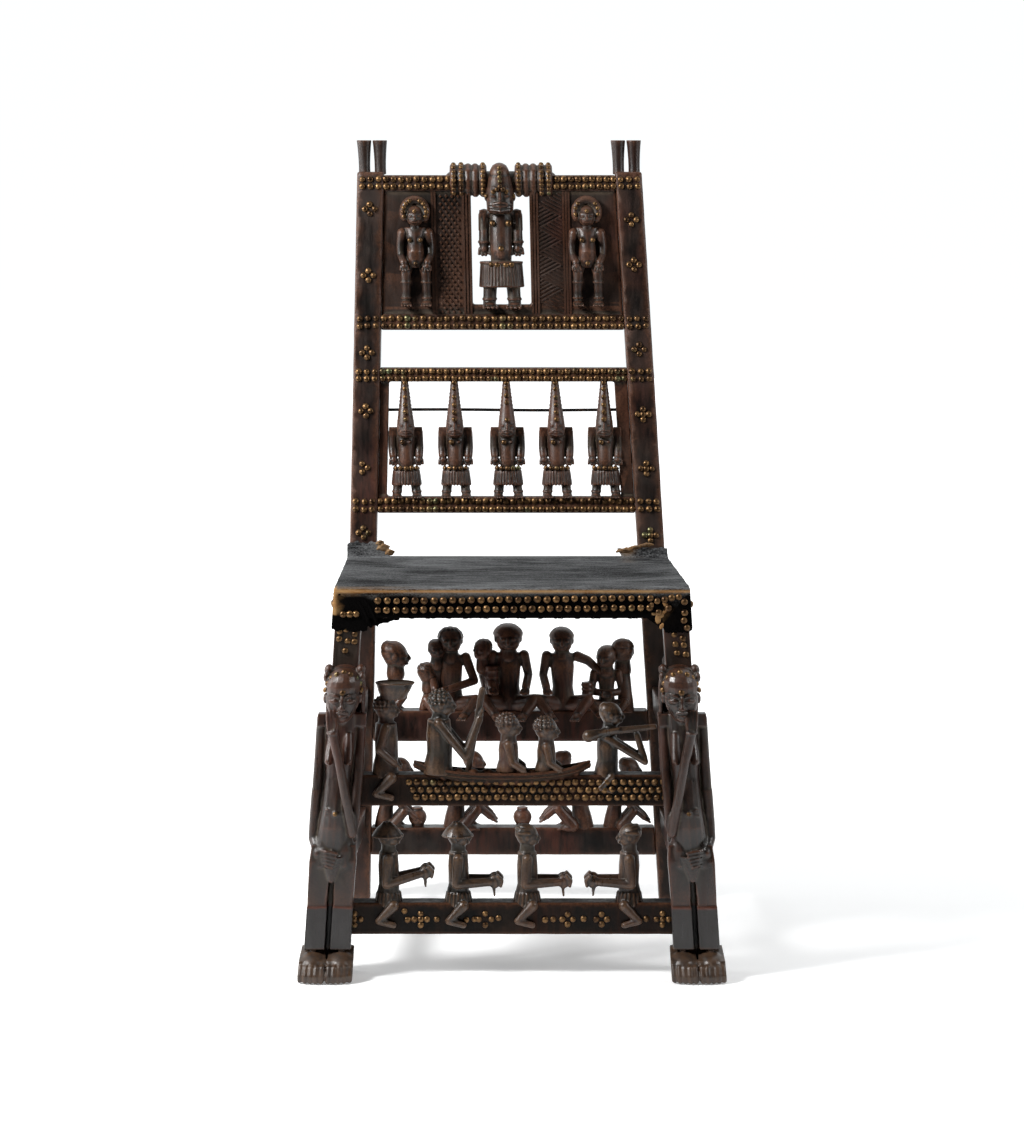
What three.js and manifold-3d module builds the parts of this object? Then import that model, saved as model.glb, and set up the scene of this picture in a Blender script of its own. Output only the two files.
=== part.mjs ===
// A carved wooden throne: two front legs carved as standing figures, two leaning back posts, rungs that
// carry rows of small figures, two carved back panels and a hide nailed over the seat rails.
// Millimetres, +Z up, the sitter faces -Y. The origin is at the middle of the base, on the floor.
import * as THREE from "three";
import Module from "manifold-3d";

const wasm = await Module();
wasm.setup();

// Overall sizes
const SEAT_FRONT_HEIGHT = 434; // top of the front seat rail, under the hide
const SEAT_REAR_HEIGHT = 414; // top of the rear seat rail, under the hide
const BACK_HEIGHT = 888; // top of the back posts, under their finials
const FINIAL_HEIGHT = 39;
const FRAME_DEPTH = 360; // front face of the front posts to the front face of the back posts, at the floor
const RECLINE = 0.14; // how far a back post goes back for each millimetre up
const FRONT_HALF = 208; // middle of the throne to a front leg's axis, at the floor
const FRONT_SPLAY = 0.0675; // how far a front leg comes in for each millimetre up
const BACK_HALF = 194; // middle of the back to a back post's axis, at the floor
const BACK_TAPER = 0.04; // how far a back post comes in for each millimetre up
const BACK_SHIFT = 3; // the back's middle at the floor, off the front's middle
const BACK_LEAN = -0.0208; // how far the whole back drifts sideways for each millimetre up
const JOINT_GAP = 0.3; // play left between pieces that meet
const SMALLEST_EDGE = 1; // facets smaller than this are merged away

// Posts and rails
const FRONT_POST = { width: 29, depth: 28 };
const BACK_POST = { width: 33, depth: 28 };
const TENON = { length: 11, side: 4.5, shoulder: 5 }; // shoulder: how much slimmer a tenon is than its bar
const RAIL = { height: 30, thickness: 26, drop: 38 };
const FRONT_RUNG_LOW = { bottom: 47, height: 36, thickness: 26 };
const FRONT_RUNG_MIDDLE = { bottom: 193, height: 35, thickness: 26 };
const REAR_RUNG_LOW = { bottom: 57, height: 33, thickness: 24 };
const REAR_RUNG_HIGH = { bottom: 195, height: 37, thickness: 26 };
const SIDE_RUNG_LOW = { bottom: 86, height: 30, thickness: 20 };
const SIDE_RUNG_MIDDLE = { bottom: 232, height: 30, thickness: 20 };

// Back panels
const UPPER_PANEL = { bottom: 695, top: 884, thickness: 16, inset: 5 };
const UPPER_WINDOW = { half: 36, bottom: 726, top: 862 };
const UPPER_BORDER = 19; // height of the studded borders along the upper panel
const LOWER_PANEL = { bottom: 472, top: 649, thickness: 15, inset: 5 };
const LOWER_SILL = 20;
const LOWER_HEAD_RAIL = 17;
const LOWER_SIDE = { left: 11, right: 16 };
const BACK_ROD = { radius: 2, height: 597 };

// Hide over the seat
const HIDE = {
  thickness: 3,
  frontSkirt: 33,
  sideSkirt: 24,
  cornerDrop: 13,
  cornerWidth: 38,
  tornLeft: { height: 26, reach: 8, slope: 12 },
  tornRight: { height: 18, reach: 26, slope: -8 },
};

const WOOD = { color: 0x2b1d16, roughness: 0.45, metalness: 0 };
const PALE_WOOD = { color: 0x4a3628, roughness: 0.55, metalness: 0 };
const LEATHER = { color: 0x26282b, roughness: 0.7, metalness: 0 };
const IRON = { color: 0x1d1b1a, roughness: 0.5, metalness: 0.8 };

// A closed solid from rings of points that all have the same number of corners.
function loft(rings) {
  const sides = rings[0].length;
  const last = (rings.length - 1) * sides;
  const faces = [];
  for (let start = 0; start < last; start += sides)
    for (let side = 0; side < sides; side++) {
      const here = start + side;
      const next = start + ((side + 1) % sides);
      faces.push(here, next, next + sides, here, next + sides, here + sides);
    }
  for (let side = 1; side + 1 < sides; side++) {
    faces.push(0, side + 1, side);
    faces.push(last, last + side, last + side + 1);
  }
  const vertices = new Float32Array(rings.flat(2));
  const build = (triangles) =>
    new wasm.Manifold(
      new wasm.Mesh({ numProp: 3, vertProperties: vertices, triVerts: new Uint32Array(triangles) }),
    );
  const made = build(faces);
  return made.volume() > 0 ? made : build(faces.slice().reverse());
}

// A box between two corners.
function block(low, high) {
  const ring = (z) => [
    [low[0], low[1], z],
    [high[0], low[1], z],
    [high[0], high[1], z],
    [low[0], high[1], z],
  ];
  return loft([ring(low[2]), ring(high[2])]);
}

// A flat ring of points: an ellipse of the given half widths, as a polygon.
function ellipse([x, y, z, halfX, halfY], sides) {
  const ring = [];
  for (let side = 0; side < sides; side++) {
    const angle = (2 * Math.PI * (side + 0.5)) / sides;
    const reach = 1 / Math.cos(Math.PI / sides) ** 0.5;
    ring.push([x + halfX * reach * Math.cos(angle), y + halfY * reach * Math.sin(angle), z]);
  }
  return ring;
}

const stack = (levels, sides) => loft(levels.map((level) => ellipse(level, sides)));

// A limb: a tube of a few sides through points [x, y, z, radius], mitred at each bend.
function limb(points, sides = 4) {
  const at = points.map(([x, y, z]) => new THREE.Vector3(x, y, z));
  const step = (index) => at[index + 1].clone().sub(at[index]).normalize();
  const longestMitre = 0.7;
  const start = step(0);
  const across = new THREE.Vector3(0.12, 1, 0.05).cross(start).normalize();
  const upward = start.clone().cross(across);
  let spokes = [];
  for (let side = 0; side < sides; side++) {
    const angle = (2 * Math.PI * (side + 0.5)) / sides;
    spokes.push(across.clone().multiplyScalar(Math.cos(angle)).addScaledVector(upward, Math.sin(angle)));
  }
  const rings = at.map((centre, index) => {
    const into = step(Math.max(index - 1, 0));
    const out = step(Math.min(index, at.length - 2));
    const bisector = into.clone().add(out).normalize();
    const slides = spokes.map((spoke) => -spoke.dot(bisector) / into.dot(bisector));
    const reach = points[index][3] / Math.cos(Math.PI / sides) ** 0.5;
    const ring = spokes.map((spoke, side) => {
      const slide = THREE.MathUtils.clamp(slides[side], -longestMitre, longestMitre);
      return centre.clone().addScaledVector(spoke, reach).addScaledVector(into, slide * reach).toArray();
    });
    spokes = spokes.map((spoke, side) => {
      const turned = spoke.clone().addScaledVector(into, slides[side]);
      return turned.addScaledVector(out, -turned.dot(out)).normalize();
    });
    return ring;
  });
  return loft(rings);
}

const mirror = (points) => points.map(([x, ...rest]) => [-x, ...rest]);
const pair = (right, left = mirror(right)) => [...left.slice().reverse(), ...right];
const scaled = (points, size) => points.map((point) => point.map((value) => value * size));
const union = (solids) => wasm.Manifold.union(solids).simplify(SMALLEST_EDGE);

// Places solids: turned about Z, leant back by a shear in Y, then moved.
function placed(solids, { at, turn = 0 }) {
  const matrix = new THREE.Matrix4()
    .makeTranslation(...at)
    .multiply(new THREE.Matrix4().makeRotationZ(THREE.MathUtils.degToRad(turn)));
  return solids.map((solid) => solid.transform(matrix.elements));
}

// Sideways and backward drift of everything in the back, so that its pieces are made upright.
const backShear = new THREE.Matrix4().set(
  ...[1, 0, BACK_LEAN, BACK_SHIFT],
  ...[0, 1, RECLINE, FRAME_DEPTH],
  ...[0, 0, 1, 0],
  ...[0, 0, 0, 1],
);
const inBack = (solid) => solid.transform(backShear.elements);
const backX = (x, z) => x + BACK_SHIFT + BACK_LEAN * z;
const backY = (y, z) => y + FRAME_DEPTH + RECLINE * z;
const backHalfAt = (z) => BACK_HALF - BACK_TAPER * z;
const frontHalfAt = (z) => FRONT_HALF - FRONT_SPLAY * z;

// Poses. A body is drawn upright and facing -Y, in shares of its height from its seat or feet to its
// shoulders. Torso rows are [x, y, z, half width, half depth], limb rows are [x, y, z, radius]. A limb runs
// outwards from the body, and a pair of limbs is one tube from hand to hand or from foot to foot.
const POSES = {
  skirted: {
    torso: [
      [0, 0, 0.2, 0.2, 0.12],
      [0, 0, 0.43, 0.18, 0.115],
      [0, -0.03, 0.56, 0.1, 0.1],
      [0, 0, 0.83, 0.115, 0.085],
    ],
    arm: [
      [0.17, 0, 0.94, 0.055],
      [0.195, 0.01, 0.66, 0.05],
      [0.17, -0.07, 0.44, 0.055],
    ],
    leg: [
      [0.12, 0, 0.28, 0.06],
      [0.155, -0.06, 0, 0.075],
    ],
  },
  ancestor: {
    torso: [
      [0, 0, 0.22, 0.22, 0.13],
      [0, 0, 0.47, 0.2, 0.12],
      [0, -0.02, 0.58, 0.105, 0.1],
      [0, 0, 0.93, 0.11, 0.09],
    ],
    arm: [
      [0.15, 0, 0.95, 0.05],
      [0.16, 0.01, 0.72, 0.045],
      [0.165, -0.05, 0.56, 0.055],
    ],
    leg: [
      [0.12, 0, 0.3, 0.07],
      [0.13, -0.05, 0, 0.075],
    ],
  },
  attendant: {
    torso: [
      [0, 0, 0.42, 0.1, 0.1],
      [0, -0.04, 0.6, 0.14, 0.13],
      [0, 0, 0.92, 0.14, 0.1],
    ],
    arm: [
      [0.17, 0, 0.94, 0.07],
      [0.2, 0, 0.64, 0.055],
      [0.14, -0.12, 0.5, 0.065],
    ],
    leg: [
      [0.08, 0, 0.52, 0.08],
      [0.13, -0.08, 0.33, 0.07],
      [0.14, -0.06, 0, 0.085],
    ],
  },
  squatting: {
    torso: [
      [0, 0.02, -0.06, 0.24, 0.24],
      [0, 0, 0.3, 0.19, 0.18],
      [0, 0, 0.95, 0.17, 0.15],
    ],
    arm: [
      [0.2, 0, 0.85, 0.085],
      [0.25, 0.03, 0.35, 0.07],
      [0.15, -0.8, 0.6, 0.085],
    ],
    leg: [
      [0.28, -0.2, -0.07, 0.1],
      [0.3, 0.2, -0.34, 0.08],
      [0.3, -0.26, -0.42, 0.07],
    ],
  },
  seated: {
    torso: [
      [0, 0.05, -0.03, 0.24, 0.19],
      [0, 0, 0.35, 0.2, 0.17],
      [0, 0, 0.98, 0.2, 0.14],
    ],
    arm: [
      [0.27, 0, 0.93, 0.08],
      [0.34, 0, 0.6, 0.07],
      [0.28, -0.28, 0.44, 0.085],
    ],
    leg: [
      [0.1, 0, 0.08, 0.13],
      [0.46, -0.36, 0.22, 0.1],
      [0.2, -0.55, -0.06, 0.09],
    ],
  },
  crouching: {
    torso: [
      [0, 0.12, -0.04, 0.2, 0.2],
      [0, 0.05, 0.4, 0.17, 0.17],
      [0, -0.16, 0.97, 0.15, 0.14],
    ],
    arm: [
      [0.18, -0.1, 0.85, 0.08],
      [0.22, -0.28, 0.5, 0.07],
      [0.16, -0.66, 0.2, 0.08],
    ],
    leg: [
      [0.22, -0.36, 0.36, 0.09],
      [0.24, -0.08, 0.02, 0.09],
    ],
  },
};

// Heads, in shares of the head's radius, from the chin upwards: [x, y, z, half width, half depth].
const HEADS = {
  plain: [
    [0, -0.35, 0, 0.5, 0.55],
    [0, -0.1, 0.8, 0.9, 1],
    [0, 0.05, 1.5, 0.85, 0.95],
    [0, 0.1, 2, 0.4, 0.45],
  ],
  round: [
    [0, -0.3, 0, 0.7, 0.7],
    [0, -0.1, 0.7, 1.25, 1.1],
    [0, 0, 1.35, 1.25, 1.1],
    [0, 0.05, 1.95, 0.7, 0.7],
  ],
  brimmed: [
    [0, -0.3, 0, 0.6, 0.75],
    [0, 0, 0.95, 1.3, 1.35],
    [0, 0.1, 2.2, 0.35, 0.4],
  ],
  peaked: [
    [0, -0.6, 0, 0.75, 0.6],
    [0, -0.6, 0.6, 1.05, 0.85],
    [0, -0.4, 1.9, 0.95, 0.8],
    [0, -0.1, 3.5, 0.5, 0.55],
  ],
  conical: [
    [0, -1, 0, 0.6, 0.6],
    [0, -1, 0.6, 1.02, 0.95],
    [0, 0.1, 6.7, 0.45, 0.5],
  ],
};

// One small figure: a body that carries its head, and its limbs. chin is the chin's height and lean is how
// far the head goes forward, both in shares of the body's height.
function figure({ pose, tall, chin, head, hair = "plain", lean = 0, sides = 4, arms, legs, ...place }) {
  const body = POSES[pose];
  const forward = body.torso.at(-1)[1] - lean;
  const skull = scaled(HEADS[hair], head).map(([x, y, z, ...half]) => [x, y + forward * tall, z + chin * tall, ...half]);
  const pairs = [arms ?? pair(body.arm), legs ?? pair(body.leg)].filter((points) => points.length);
  const limbs = pairs.map((points) => limb(scaled(points, tall), 3));
  return placed([union([stack([...scaled(body.torso, tall), ...skull], sides), ...limbs])], place);
}

// Bars. A bar runs along X or Y between two ends and has a slimmer tenon at each end. Its sockets are what
// the tenons need in the posts, and its housing is the room that its shaft needs in a carved leg.
function crossBar({ left, right, front, bottom, height, thickness }) {
  const slope = (x, z, side) => x(z) + side;
  const ring = (side, inset, grow) => {
    const low = bottom + inset;
    const high = bottom + height - inset;
    const near = front + inset;
    const far = front + thickness - inset;
    const edge = side < 0 ? left : right;
    return [
      [slope(edge, low, side * grow), near, low],
      [slope(edge, low, side * grow), far, low],
      [slope(edge, high, side * grow), far, high],
      [slope(edge, high, side * grow), near, high],
    ];
  };
  const shaft = loft([ring(-1, 0, -JOINT_GAP), ring(1, 0, -JOINT_GAP)]);
  const tenons = loft([ring(-1, TENON.shoulder, TENON.length), ring(1, TENON.shoulder, TENON.length)]);
  const slot = TENON.shoulder - JOINT_GAP;
  const housing = loft([ring(-1, -JOINT_GAP, 0), ring(1, -JOINT_GAP, 0)]);
  const sockets = loft([ring(-1, slot, TENON.length + 1), ring(1, slot, TENON.length + 1)]);
  return { solid: union([shaft, tenons]), sockets, housing };
}

// A rung or rail between the front legs, in the front posts' depth.
function frontBar(size) {
  const edge = (side) => (z) => side * (frontHalfAt(z) - FRONT_POST.width / 2);
  return crossBar({ left: edge(-1), right: edge(1), front: (FRONT_POST.depth - size.thickness) / 2, ...size });
}

// A rung, rail or panel between the back posts, upright; the whole back is sheared afterwards.
function backBar(size, inset = (BACK_POST.depth - size.thickness) / 2) {
  const edge = (side) => (z) => side * (backHalfAt(z) - BACK_POST.width / 2);
  return crossBar({ left: edge(-1), right: edge(1), front: inset, ...size });
}

// A rung or rail on one side, from a front post's back to a back post's front, with a tenon at each end.
function sideBar(side, { bottom, height, thickness, rearDrop = 0 }) {
  const corner = (z, offset, atRear, reach) => {
    const x = atRear ? backX(side * backHalfAt(z), z) : side * frontHalfAt(z);
    return [x + offset, atRear ? backY(reach, z) : FRONT_POST.depth - reach, z];
  };
  const ring = (atRear, inset, reach) => {
    const drop = atRear ? rearDrop : 0;
    const low = bottom + inset - drop;
    const high = bottom + height - inset - drop;
    const half = thickness / 2 - inset;
    return [
      corner(low, -half, atRear, reach),
      corner(low, half, atRear, reach),
      corner(high, half, atRear, reach),
      corner(high, -half, atRear, reach),
    ];
  };
  const shaft = loft([ring(false, 0, -JOINT_GAP), ring(true, 0, -JOINT_GAP)]);
  const tenons = loft([ring(false, TENON.shoulder, TENON.side), ring(true, TENON.shoulder, TENON.side)]);
  const slot = TENON.shoulder - JOINT_GAP;
  const sockets = loft([ring(false, slot, TENON.side + 1), ring(true, slot, TENON.side + 1)]);
  return { solid: union([shaft, tenons]), sockets };
}

// Front legs

// The leg's carving in its own upright frame: x from the leg's axis, with the bent arm on the +x side.
const LEG = {
  footTop: 34,
  knee: 82,
  hip: 140,
  waist: 205,
  shoulder: 298,
  chin: 294,
  crown: 353,
};

function legCarving() {
  const leg = [
    [13, -6, LEG.footTop - 6, 11.5],
    [13, -6, LEG.knee, 11.5],
    [12, -6, LEG.hip - 6, 12.5],
    [8, -4, LEG.hip + 10, 12],
  ];
  const foot = [
    [14, 10, 0, 16],
    [16, -44, 0, 16],
  ];
  const footBlock = (side) =>
    loft([
      [0, 1].flatMap((end) => footEdge(foot[end], side, 0, end)),
      [0, 1].flatMap((end) => footEdge(foot[end], side, LEG.footTop - 5 * end, end)),
    ]);
  const torso = [
    [0, 0, LEG.hip - 22, 15, 12],
    [0, -3, LEG.hip + 16, 21, 17],
    [0, -6, LEG.waist - 20, 16, 18],
    [0, -2, LEG.waist + 22, 15, 13],
    [0, -6, LEG.shoulder - 46, 17, 18],
    [0, -2, LEG.shoulder - 26, 17, 13],
    [0, 0, LEG.shoulder, 18, 11],
  ];
  const head = [
    [0, -20, LEG.chin, 9, 9],
    [0, -17, LEG.chin + 16, 17, 17],
    [0, -12, LEG.chin + 32, 21, 23],
    [0, -9, LEG.chin + 47, 19, 22],
    [0, -4, LEG.crown, 12, 15],
  ];
  const locks = [
    [0, 12, LEG.chin - 2, 17, 9],
    [0, 5, LEG.crown - 3, 17, 12],
  ];
  const shoulders = block([-27, -7, LEG.shoulder - 13], [27, 9, LEG.shoulder]);
  const straightArm = [
    [-22, 1, LEG.shoulder - 6, 6],
    [-22, 1, LEG.waist + 2, 6],
    [-23, 0, LEG.hip + 20, 6.5],
    [-14, -18, LEG.hip, 6.5],
    [2, -21, LEG.hip - 4, 7],
  ];
  const bentArm = [
    [21, 1, LEG.shoulder - 6, 6],
    [22, -4, LEG.waist + 30, 6],
    [20, -16, LEG.waist - 36, 6],
  ];
  const forearm = [
    [21, -14, LEG.waist - 38, 6],
    [-8, -29, LEG.chin - 14, 6],
    [-13, -29, LEG.chin + 12, 6],
  ];
  return union([
    limb(leg),
    limb(mirror(leg)),
    footBlock(1),
    footBlock(-1),
    stack(torso, 6),
    stack(head, 6),
    stack(locks, 4),
    shoulders,
    limb(straightArm),
    limb(bentArm),
    limb(forearm),
  ]);
}

// Two corners of a foot's outline at one end, heel or toe, so that the pair runs round the foot.
function footEdge([x, y, , half], side, z, end) {
  const inner = [side * 0.4, y, z];
  const outer = [side * (x + half), y, z];
  return end === 0 ? [inner, outer] : [outer, inner];
}

function frontLeg(side, cuts) {
  const bottom = 0;
  const ring = (z, grow = 0) => {
    const half = FRONT_POST.width / 2 + grow;
    return [
      [-half, 0, z],
      [half, 0, z],
      [half, FRONT_POST.depth, z],
      [-half, FRONT_POST.depth, z],
    ];
  };
  const post = loft([ring(bottom, 3), ring(LEG.shoulder), ring(SEAT_FRONT_HEIGHT)]);
  const facing = side < 0 ? new THREE.Matrix4() : new THREE.Matrix4().makeScale(-1, 1, 1);
  const stance = new THREE.Matrix4().set(
    ...[1, 0, -side * FRONT_SPLAY, side * FRONT_HALF],
    ...[0, 1, 0, 0],
    ...[0, 0, 1, 0],
    ...[0, 0, 0, 1],
  );
  const whole = union([post, legCarving().transform(facing.elements)]).transform(stance.elements);
  return cuts.reduce((solid, cut) => solid.subtract(cut), whole);
}

// Back posts, each with a pair of flared finials.
function backPost(side, cuts) {
  const ring = (z, x0, x1, y0, y1) => [
    [x0, y0, z],
    [x1, y0, z],
    [x1, y1, z],
    [x0, y1, z],
  ];
  const half = BACK_POST.width / 2;
  const square = (z) => ring(z, side * backHalfAt(z) - half, side * backHalfAt(z) + half, 0, BACK_POST.depth);
  const solids = [loft([square(0), square(BACK_HEIGHT)])];
  const middle = side * backHalfAt(BACK_HEIGHT);
  const finial = { spread: 9.5, foot: 5.5, mouth: 8.6 };
  for (const which of [-1, 1]) {
    const x = middle + which * finial.spread;
    const y = BACK_POST.depth / 2;
    const levels = [
      [x, y, BACK_HEIGHT - 3, finial.foot, finial.foot + 2],
      [x, y, BACK_HEIGHT + FINIAL_HEIGHT, finial.mouth, finial.mouth + 2],
    ];
    solids.push(stack(levels, 6));
  }
  const whole = inBack(union(solids));
  return cuts.reduce((solid, cut) => solid.subtract(cut), whole);
}

// Rungs with their carved figures

// Four masked figures squat across the lowest front rung, their hands held out.
const MASKED = { tall: 58, chin: 1.06, head: 12.5 };

function maskedRung(bar) {
  const top = FRONT_RUNG_LOW.bottom + FRONT_RUNG_LOW.height;
  const places = [
    { x: -138, hair: "brimmed", turn: 90 },
    { x: -60, hair: "brimmed", turn: 90 },
    { x: 17, hair: "plain", turn: 90 },
    { x: 131, hair: "plain", turn: -90 },
  ];
  const figures = places.flatMap(({ x, ...more }) =>
    figure({ pose: "squatting", ...MASKED, at: [x, FRONT_POST.depth / 2, top], ...more }),
  );
  return union([bar.solid, ...figures]);
}

// The canoe, a pointed hollow hull set into the top of the middle front rung.
const CANOE = { left: -109, right: 87, freeboard: 4, draught: 10, tipRise: 12, halfWidth: 16, wall: 3.5, forward: 8 };
const CANOE_RIM = FRONT_RUNG_MIDDLE.bottom + FRONT_RUNG_MIDDLE.height + CANOE.freeboard;
const CANOE_KEEL = CANOE_RIM - CANOE.draught;

function canoe() {
  const middle = (CANOE.left + CANOE.right) / 2;
  const half = (CANOE.right - CANOE.left) / 2;
  const tip = CANOE_RIM + CANOE.tipRise;
  const stations = [
    { along: -1, rim: tip, keel: tip - 4, wide: 1 },
    { along: -0.6, rim: CANOE_RIM, keel: CANOE_KEEL, wide: CANOE.halfWidth },
    { along: 0.6, rim: CANOE_RIM, keel: CANOE_KEEL, wide: CANOE.halfWidth },
    { along: 1, rim: tip, keel: tip - 4, wide: 1 },
  ];
  const section = (x, high, low, wide) => [
    [x, -wide, high],
    [x, -wide * 0.5, low],
    [x, wide * 0.5, low],
    [x, wide, high],
  ];
  const hull = loft(stations.map(({ along, rim, keel, wide }) => section(middle + along * half, rim, keel, wide)));
  const hollow = loft(
    stations.slice(1, 3).flatMap(({ along, rim, keel, wide }) => {
      const ends = [along - 0.2, along + 0.2].map((share) => middle + share * half);
      const rows = ends.map((x, index) => {
        const outermost = index === (along < 0 ? 0 : 1);
        const inner = outermost ? wide * 0.45 : wide - CANOE.wall;
        return section(x, rim + 9, keel + CANOE.wall, inner);
      });
      return rows;
    }),
  );
  return placed([hull.subtract(hollow)], { at: [0, FRONT_POST.depth / 2 - CANOE.forward, 0] });
}

// A carrier with a basket on the head, a poler and two paddlers in a canoe, and a hunter aiming a gun.
function canoeRung(bar) {
  const y = FRONT_POST.depth / 2;
  const aboard = y - CANOE.forward;
  const top = FRONT_RUNG_MIDDLE.bottom + FRONT_RUNG_MIDDLE.height;
  const hanging = [
    [0.2, 0, 0.9, 0.08],
    [0.27, 0.12, 0.5, 0.075],
    [0.2, -0.16, 0.24, 0.07],
  ];
  const poling = [
    [0.18, 0, 0.92, 0.09],
    [0.24, -0.5, 0.3, 0.08],
    [0.12, -0.8, 1.14, 0.08],
  ];
  const paddling = [
    [0.3, 0, 0.9, 0.15],
    [0.44, -0.15, 0.3, 0.14],
    [0.42, -0.55, 0.05, 0.16],
  ];
  const aiming = [
    [0.18, 0, 0.92, 0.1],
    [0.24, -1.0, 0.33, 0.09],
    [0.12, -0.75, 1.12, 0.09],
  ];
  const squatter = (more) => figure({ pose: "squatting", turn: 90, ...more });
  const people = [
    squatter({ tall: 59, chin: 1.02, head: 13, at: [-140, y, top], arms: pair(hanging) }),
    squatter({ tall: 59, chin: 1.03, head: 14, at: [-81, aboard, CANOE_RIM + 1], arms: pair(poling), legs: [], lean: 0.05 }),
    squatter({ tall: 30, chin: 1.18, head: 13, at: [-4, aboard, CANOE_RIM + 2], arms: pair(paddling), legs: [] }),
    squatter({ tall: 27, chin: 1.16, head: 13, at: [38, aboard, CANOE_RIM + 2], arms: pair(paddling), legs: [] }),
    squatter({ tall: 44, chin: 1.25, head: 12.5, at: [106, y, top], arms: pair(aiming), lean: 0.18 }),
  ].flat();
  const basket = stack(
    [
      [-132, y, top + 84, 13, 11],
      [-130, y, top + 102, 21, 15],
    ],
    8,
  );
  const pole = limb([
    [-50, aboard, CANOE_KEEL + 3, 4],
    [-33, aboard, CANOE_RIM + 92, 3.5],
  ]);
  const gun = limb([
    [88, y - 8, top + 44, 8],
    [103, y - 8, top + 49, 4],
    [156, y - 8, top + 53, 3],
  ]);
  return union([bar.solid, ...canoe(), ...people, basket, pole, gun]);
}

// A council of seated figures on the high rear rung, with attendants between and beside them.
function councilRung(bar) {
  const y = BACK_POST.depth / 2;
  const top = REAR_RUNG_HIGH.bottom + REAR_RUNG_HIGH.height;
  const local = (x) => x - BACK_SHIFT - BACK_LEAN * top;
  const someone = ({ x, back = 0, ...more }) => figure({ at: [local(x), y + back, top], ...more });
  const acrossBelly = [
    [0.27, 0, 0.93, 0.08],
    [0.42, -0.05, 0.52, 0.07],
    [-0.1, -0.26, 0.4, 0.08],
  ];
  const aroundChild = [
    [0.27, 0, 0.92, 0.08],
    [0.45, 0, 0.85, 0.08],
    [0.66, -0.02, 0.66, 0.075],
  ];
  const folded = [
    [0.3, 0, 0.88, 0.1],
    [0.38, -0.05, 0.45, 0.1],
    [-0.06, -0.28, 0.42, 0.1],
  ];
  const own = mirror(POSES.seated.arm);
  const seated = [
    { x: -74, tall: 68, chin: 1.08, head: 13.5, arms: pair(acrossBelly, own) },
    { x: -3, tall: 71, chin: 1.05, head: 14.5 },
    { x: 63, tall: 70, chin: 1.04, head: 13, arms: pair(aroundChild, own) },
    { x: 117, tall: 50, chin: 1.06, head: 12, arms: pair(folded) },
  ].flatMap((one) => someone({ pose: "seated", hair: "round", ...one }));
  const beside = [
    { x: -150, tall: 48, chin: 1.04, head: 16, turn: 90, arms: [] },
    { x: -106, tall: 28, chin: 1.05, head: 13, turn: 110, arms: [], legs: [] },
    { x: -93, back: 6, tall: 60, chin: 1.04, head: 11, turn: 10, arms: [], legs: [] },
    { x: -29, back: 4, tall: 56, chin: 1.08, head: 12, turn: -40, arms: [], legs: [] },
    { x: 139, tall: 52, chin: 1.04, head: 15, turn: 190, arms: [], legs: [] },
  ].flatMap((one) => someone({ pose: "crouching", ...one }));
  const drum = (x, radius, height) =>
    stack(
      [
        [local(x), y - 6, top - 3, radius * 0.75, radius * 0.75],
        [local(x), y - 6, top + height, radius, radius],
      ],
      6,
    );
  return inBack(union([bar.solid, ...seated, ...beside, drum(-24, 9, 54), drum(93, 7, 34)]));
}

// Four workers on the low rear rung, with two pots between them.
function workersRung(bar) {
  const y = BACK_POST.depth / 2;
  const top = REAR_RUNG_LOW.bottom + REAR_RUNG_LOW.height;
  const worker = { pose: "crouching", chin: 1.02, head: 12.5, lean: 0.15, legs: [] };
  const workers = [
    { x: -153, tall: 56, turn: 90 },
    { x: -66, tall: 64, turn: 90 },
    { x: 80, tall: 64, turn: -90 },
    { x: 128, tall: 56, turn: 90 },
  ].flatMap(({ x, ...more }) => figure({ ...worker, ...more, at: [x, y, top] }));
  const pots = [-117, 12].map((x) =>
    stack(
      [
        [x, y, top - 2, 6, 6],
        [x, y, top + 12, 11, 11],
        [x, y, top + 22, 6, 6],
      ],
      6,
    ),
  );
  return inBack(union([bar.solid, ...workers, ...pots]));
}

// One crouching figure on each side rung, facing forward along it.
function sideRung(side, size, tall) {
  const bar = sideBar(side, size);
  const top = size.bottom + size.height;
  const share = 0.45;
  const x = side * frontHalfAt(top) * (1 - share) + backX(side * backHalfAt(top), top) * share;
  const y = FRONT_POST.depth + share * (backY(0, top) - FRONT_POST.depth);
  const worker = figure({ pose: "crouching", tall, chin: 1.02, head: 12, arms: [], at: [x, y, top] });
  return { solid: union([bar.solid, ...worker]), sockets: bar.sockets };
}

// Back panels

// A panel seated between the back posts, upright, with its tenons.
const panelBar = (panel) =>
  backBar({ bottom: panel.bottom, height: panel.top - panel.bottom, thickness: panel.thickness }, panel.inset);

// The upper panel: a board with a window, an ancestor with a winged coiffure in it, one attendant each side.
const ANCESTOR = { tall: 122, chin: 0.97, head: 17.5 };
const ATTENDANT = { tall: 96, chin: 1.04, head: 13.5, place: 105 };
const WING = { half: 61, bottom: 856, top: 899, middle: 12, depth: 15 };

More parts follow.
